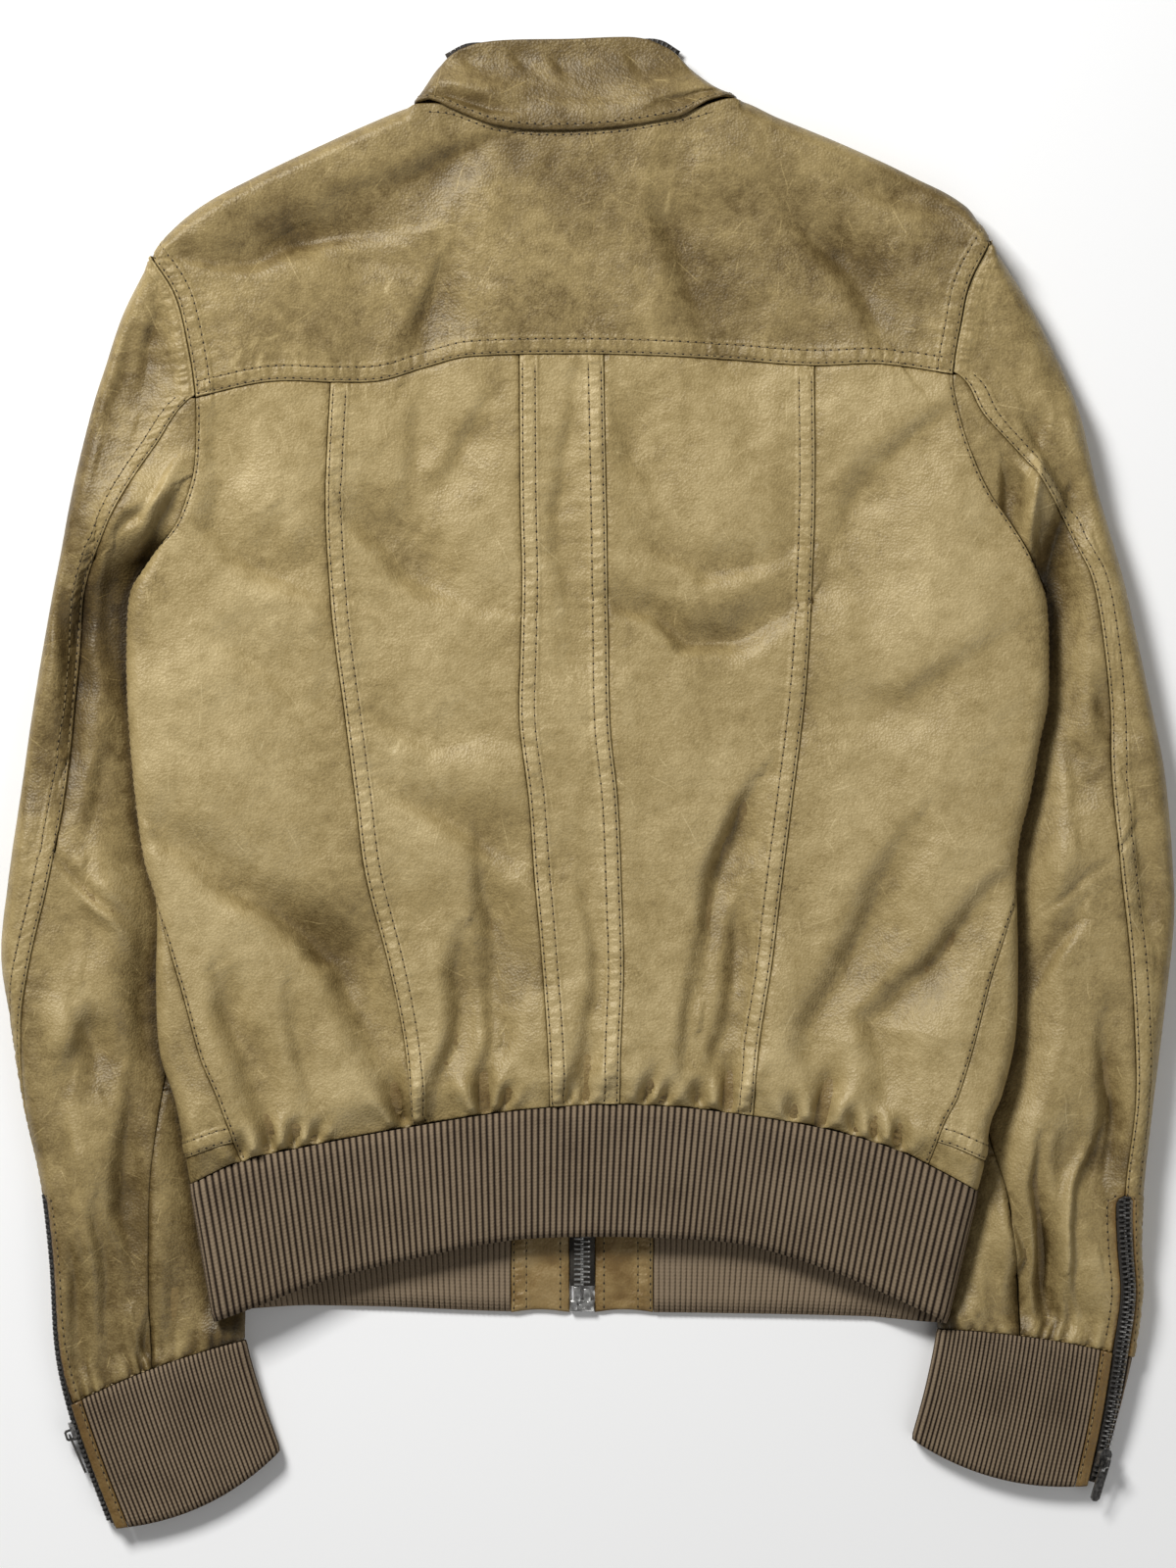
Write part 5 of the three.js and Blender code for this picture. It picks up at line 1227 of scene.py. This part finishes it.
def soften(piece):
    bevel = piece.modifiers.new("softened", "BEVEL")
    bevel.width = SOFT_EDGE
    bevel.segments = 2


# Sewing

THREADS = []
HOLES = []


def line_at(cloth, edge, distance):
    """Points and normals of a piece along a line at a distance from one of its edges."""
    gaps, face, normals = cloth.gaps[edge], cloth.face, cloth.normals
    if edge in ("low", "high"):
        gaps, face, normals = gaps.T, face.transpose(1, 0, 2), normals.transpose(1, 0, 2)
    if edge in ("right", "high"):
        gaps, face, normals = gaps[:, ::-1], face[:, ::-1], normals[:, ::-1]
    rows = np.arange(len(gaps))
    i = np.clip((gaps < distance).sum(axis=1), 1, gaps.shape[1] - 1)
    span = np.maximum(gaps[rows, i] - gaps[rows, i - 1], 1e-6)
    share = np.clip((distance - gaps[rows, i - 1]) / span, 0, 1)[:, None]
    return mix(face[rows, i - 1], face[rows, i], share), normals[rows, i]


def sew_rows(cloth, edge, distances, keep=None):
    for distance in distances:
        points, normals = line_at(cloth, edge, distance)
        length, at = measured(points)
        starts = np.arange(2, length - STITCH_PITCH - 1, STITCH_PITCH)
        first, last = at(points, starts + 0.35), at(points, starts + STITCH_PITCH - 0.35)
        outwards = unit(at(normals, starts + STITCH_PITCH / 2))
        used = np.ones(len(starts), bool) if keep is None else keep(first)
        THREADS.append((first[used], last[used], outwards[used]))
        HOLES.append((at(points, starts)[used], outwards[used], unit(last - first)[used]))


def threads():
    first, last, outwards = (np.concatenate(values) for values in zip(*THREADS))
    along = last - first
    sideways = unit(np.cross(along, outwards))
    rings = []
    for share, size, lift in ((0, 0.16, -0.25), (0.22, 0.3, 0.08), (0.78, 0.3, 0.08), (1, 0.16, -0.25)):
        for k in range(5):
            angle = 2 * np.pi * k / 5
            out = lift + size * np.sin(angle)
            rings.append(first + along * share + sideways * size * np.cos(angle) + outwards * out)
    repeated("stitching", np.stack(rings, axis=1), ring_quads(4, 5), thread, "leather_trim")


def needle_holes():
    middles, outwards, along = (np.concatenate(values) for values in zip(*HOLES))
    sideways = unit(np.cross(along, outwards))
    raised = middles + outwards * 0.1
    corners = [raised]
    for k in range(6):
        angle = 2 * np.pi * k / 6
        corners.append(raised + along * 0.7 * np.cos(angle) + sideways * 0.5 * np.sin(angle))
    fans = [(0, 1 + k, 1 + (k + 1) % 6) for k in range(6)]
    repeated("needle_holes", np.stack(corners, axis=1), fans, shade, "leather_trim")


# Materials

class Out:
    """An output of a shader node, which adds, subtracts and multiplies as a number does."""

    def __init__(self, socket):
        self.socket = socket
        self.tree = socket.id_data

    def math(self, operation, other=0.0):
        return add_node(self.tree, "ShaderNodeMath", {0: self, 1: other}, operation=operation)

    def __add__(self, other):
        return self.math("ADD", other)

    def __sub__(self, other):
        return self.math("SUBTRACT", other)

    def __rsub__(self, other):
        return add_node(self.tree, "ShaderNodeMath", {0: other, 1: self}, operation="SUBTRACT")

    def __mul__(self, other):
        return self.math("MULTIPLY", other)


def connect(node, inputs):
    """Links outputs to a node's inputs, or sets an input's own value."""
    for key, value in inputs.items():
        if isinstance(value, Out):
            value.tree.links.new(value.socket, node.inputs[key])
        else:
            node.inputs[key].default_value = value


def add_node(tree, kind, inputs=None, outs=0, **settings):
    """Adds a node and returns one of its outputs, or a list of them."""
    node = tree.nodes.new(kind)
    for key, value in settings.items():
        setattr(node, key, value)
    connect(node, inputs or {})
    if isinstance(outs, tuple):
        return [Out(node.outputs[key]) for key in outs]
    return Out(node.outputs[outs])


def tree_of(name):
    material = bpy.data.materials.new(name)
    material.use_nodes = True
    tree = material.node_tree
    return material, tree, tree.nodes["Principled BSDF"]


def object_coords(tree):
    return add_node(tree, "ShaderNodeTexCoord", outs="Object")


def weave_of(tree):
    weave = add_node(tree, "ShaderNodeUVMap", uv_map="weave")
    return add_node(tree, "ShaderNodeSeparateXYZ", {0: weave}, ("X", "Y"))


def noise(coords, scale, detail=4.0, roughness=0.6):
    return add_node(coords.tree, "ShaderNodeTexNoise", {
        "Vector": coords, "Scale": scale, "Detail": detail, "Roughness": roughness}, "Fac")


def noise_vector(coords, scale):
    return add_node(coords.tree, "ShaderNodeTexNoise", {
        "Vector": coords, "Scale": scale, "Detail": 2.0}, "Color")


def vector_math(operation, *values):
    return add_node(values[0].tree, "ShaderNodeVectorMath", dict(enumerate(values)), operation=operation)


def ramp(value, *stops):
    """Colours by a value, from pairs of a place and a colour."""
    colour = add_node(value.tree, "ShaderNodeValToRGB", {"Fac": value}, "Color")
    points = colour.socket.node.color_ramp.elements
    while len(points) < len(stops):
        points.new(0.5)
    for point, (position, shown) in zip(points, stops):
        point.position = position
        point.color = (*shown, 1)
    return colour


def between(value, low, high):
    return add_node(value.tree, "ShaderNodeMapRange", {
        "Value": value, "From Min": low, "From Max": high}, interpolation_type="SMOOTHSTEP")


def scratches(coords, scale, length, width):
    """Short fine strokes, one to a cell, each turned its own way."""
    bent = vector_math("SUBTRACT", noise_vector(coords, 60), (0.5, 0.5, 0.5))
    moved = vector_math("MULTIPLY_ADD", bent, (0.004, 0.004, 0), coords)
    flat = vector_math("MULTIPLY", moved, (1, 1, 0))
    colour, middle = add_node(coords.tree, "ShaderNodeTexVoronoi", {"Vector": flat, "Scale": scale},
                              ("Color", "Position"), voronoi_dimensions="2D")
    turn, chance = add_node(coords.tree, "ShaderNodeSeparateColor", {"Color": colour}, ("Red", "Green"))
    turned = add_node(coords.tree, "ShaderNodeVectorRotate", {
        "Vector": vector_math("SUBTRACT", flat, middle), "Angle": turn * 6.28}, rotation_type="Z_AXIS")
    x, y = add_node(coords.tree, "ShaderNodeSeparateXYZ", {0: turned}, ("X", "Y"))
    across = between(y.math("ABSOLUTE"), width, 0.0)
    along = between(x.math("ABSOLUTE"), length, length * 0.3)
    return across * along * between(chance, 0.6, 1.0)


def crackled(coords):
    """Fine broken lines round the cells of old leather, in patches."""
    bent = vector_math("MULTIPLY_ADD", noise_vector(coords, 110), (0.006, 0.006, 0.006), coords)
    edge = add_node(coords.tree, "ShaderNodeTexVoronoi", {"Vector": bent, "Scale": 260.0}, "Distance",
                    feature="DISTANCE_TO_EDGE")
    return between(edge, 0.09, 0.0) * between(noise(coords, 26, 3, 0.6), 0.46, 0.62)


def worn_leather():
    material, tree, shader = tree_of("worn_leather")
    coords = object_coords(tree)
    # The attribute's red is the tone, with painted shade in folds and beside the body; its green the scuffs;
    # its blue the amber dye.
    wear_and_shade = add_node(tree, "ShaderNodeAttribute", outs="Color", attribute_name="wear_and_shade")
    tone, worn, amber = add_node(tree, "ShaderNodeSeparateColor", {"Color": wear_and_shade}, ("Red", "Green", "Blue"))
    mottle = noise(coords, 170, 6, 0.7)
    for value, amount in ((noise(coords, 24, 5, 0.62), 0.50), (noise(coords, 75, 4, 0.6), 0.24),
                          (mottle, 0.36), (noise(coords, 1100, 3, 0.7), 0.34)):
        tone = tone + (value - 0.5) * amount
    lines = scratches(coords, 95, 0.0055, 0.00045) + scratches(coords, 42, 0.012, 0.0005)
    tone = tone + (lines * 0.18 + worn * 0.2) + crackled(coords) * -0.07
    colour = ramp(tone, (0.0, (0.030, 0.018, 0.006)), (0.25, (0.120, 0.079, 0.026)),
                  (0.5, (0.315, 0.232, 0.096)), (0.75, (0.480, 0.374, 0.185)), (1.0, (0.66, 0.55, 0.33)))
    dyed = add_node(tree, "ShaderNodeMix", {
        "Factor": amber, "A": colour, "B": (0.185, 0.103, 0.030, 1)}, "Result", data_type="RGBA")
    rough = add_node(tree, "ShaderNodeMapRange", {"Value": mottle, "To Min": 0.37, "To Max": 0.57})
    pebble = add_node(tree, "ShaderNodeTexVoronoi", {"Vector": coords, "Scale": 760.0}, "Distance")
    grain = add_node(tree, "ShaderNodeBump", {"Height": pebble, "Strength": 0.5, "Distance": 0.0004})
    wrinkle = add_node(tree, "ShaderNodeBump", {
        "Height": noise(coords, 260, 4, 0.65), "Strength": 0.35, "Distance": 0.0008, "Normal": grain})
    connect(shader, {
        "Base Color": dyed, "Roughness": rough, "Specular IOR Level": 0.5,
        "Specular Tint": (1.0, 0.92, 0.76, 1), "Normal": wrinkle})
    return material


def rib_knit():
    material, tree, shader = tree_of("rib_knit")
    coords = object_coords(tree)
    across, along = weave_of(tree)
    away = (across.math("FRACT") - 0.5).math("ABSOLUTE") * 2.0
    loop = (along * 3.7 + away * 2.4).math("SINE")
    fuzz = noise(coords, 900, 4, 0.7)
    # Painted shade: the grooves between the ribs are painted darker. On the knit's inside, shown on the
    # fronts, the grooves are painted less dark and the whole paler, as painted light where it lies in the
    # shade of the back.
    inside = between(along, 0.4 * KNIT_INSIDE, 0.6 * KNIT_INSIDE)
    groove = away.math("POWER", 2.6) * (1.5 - inside * 0.7)
    light = 1.0 - groove + loop * 0.03 + inside * 0.22
    light = light + (fuzz - 0.5) * 0.5 + (noise(coords, 30) - 0.5) * 0.5
    colour = ramp(light, (0.0, (0.018, 0.011, 0.007)), (0.4, (0.060, 0.042, 0.027)),
                  (0.8, (0.160, 0.117, 0.074)), (1.0, (0.240, 0.180, 0.118)))
    bump = add_node(tree, "ShaderNodeBump", {
        "Height": loop * 0.2 + fuzz, "Strength": 0.6, "Distance": 0.0004})
    connect(shader, {"Base Color": colour, "Roughness": 0.95, "Specular IOR Level": 0.15, "Normal": bump})
    return material


def plain(name, low, high, roughness, metallic=0.0, scale=400.0):
    """A material of one colour that varies a little."""
    material, tree, shader = tree_of(name)
    colour = ramp(noise(object_coords(tree), scale), (0.3, low), (0.7, high))
    connect(shader, {"Base Color": colour, "Roughness": roughness, "Metallic": metallic})
    return material


def woven_tape():
    """Zip tape: dark under the teeth, grey-beige along one edge."""
    material, tree, shader = tree_of("zip_tape")
    edge = between(weave_of(tree)[0], -2.2, -3.0) + (noise(object_coords(tree), 1500) - 0.5) * 0.5
    colour = ramp(edge, (0.1, (0.024, 0.020, 0.016)), (0.9, (0.33, 0.285, 0.215)))
    connect(shader, {"Base Color": colour, "Roughness": 0.9})
    return material


leather = worn_leather()
knit = rib_knit()
zip_tape = woven_tape()
dark_tape = plain("dark_tape", (0.022, 0.018, 0.014), (0.055, 0.046, 0.036), 0.9, scale=1500)
gunmetal = plain("gunmetal", (0.030, 0.028, 0.026), (0.30, 0.29, 0.275), 0.2, 0.8, 500)
steel = plain("steel", (0.22, 0.215, 0.205), (0.74, 0.73, 0.70), 0.24, 0.85, 420)
thread = plain("thread", (0.15, 0.10, 0.038), (0.32, 0.235, 0.10), 0.7, scale=900)
shade = plain("needle_hole_shade", (0.012, 0.008, 0.003), (0.02, 0.013, 0.006), 0.9)

# Build

side_panel("back_side_left", LEFT, 0.06, 1)
inner_panel("back_inner_left", outer_left_seam, inner_left_seam, ("left",), 0.07, 7)
inner_panel("back_centre", inner_left_seam, inner_right_seam, ("left", "right"), 0.07, 13)
inner_panel("back_inner_right", inner_right_seam, outer_right_seam, ("right",), 0.06, 19)
side_panel("back_side_right", RIGHT, 0.06, 25)
yoke()
front("left", LEFT, 0.0, 51)
front("right", RIGHT, 0.0, 57)
hem_rib()
hem_tab("left", TAB_LEFT + SEAM / 2, ZIP_X - ZIP_GAP / 2, 61)
hem_tab("right", ZIP_X + ZIP_GAP / 2, TAB_RIGHT - SEAM / 2, 67)
collar()
for side, arm, seed in (("left", LEFT_ARM, 81), ("right", RIGHT_ARM, 89)):
    corner_x = left_side(196.5) if side == "left" else right_side(208.3)
    sleeve(side, arm, float(yoke_seam(corner_x)), seed)
    cuff(side, arm)
    strip_edges(side, arm)
front_zip()
half_chain("left", LEFT_COLLAR_CHAIN, 1)
half_chain("right", RIGHT_COLLAR_CHAIN, -1)
zip_box()
threads()
needle_holes()

# Sliders and pull tabs keep their solids, with softened edges
for node in [f"{zip_name}_{part}" for zip_name in ("sleeve_left", "sleeve_right", "front")
             for part in ("slider", "pull")]:
    solid = bpy.data.objects[node]
    solid.data.materials.clear()
    solid.data.materials.append(gunmetal)
    soften(solid)

# Floor, light and camera
bpy.ops.mesh.primitive_plane_add(size=FLOOR_SIZE, location=(0, 0, FLOOR_Z))
floor = bpy.context.object
floor.name = "floor"
paper, _, paper_shader = tree_of("paper")
connect(paper_shader, {"Base Color": (0.93, 0.93, 0.925, 1), "Roughness": 0.9})
floor.data.materials.append(paper)


def soft_light(name, place, size, power):
    lamp = bpy.data.lights.new(name, "AREA")
    lamp.size = size
    lamp.energy = power
    lamp_object = bpy.data.objects.new(name, lamp)
    lamp_object.location = place
    lamp_object.rotation_euler = (-Vector(place)).to_track_quat("-Z", "Y").to_euler()
    bpy.context.scene.collection.objects.link(lamp_object)


soft_light("key", (-1.0, 1.3, 1.6), 0.7, 60)
soft_light("fill", (1.1, -1.3, 1.5), 1.6, 10)
world = bpy.data.worlds.new("studio")
bpy.context.scene.world = world
world.use_nodes = True
connect(world.node_tree.nodes["Background"], {"Color": (1, 1, 1, 1), "Strength": 0.15})

lens = bpy.data.cameras.new("camera")
lens.lens = 135
lens.sensor_width = 36
camera = bpy.data.objects.new("camera", lens)
camera.location = (ORIGIN[0] / 1000, ORIGIN[1] / 1000, CAMERA_HEIGHT)
bpy.context.scene.collection.objects.link(camera)
bpy.context.scene.camera = camera
bpy.context.scene.view_settings.view_transform = "Standard"
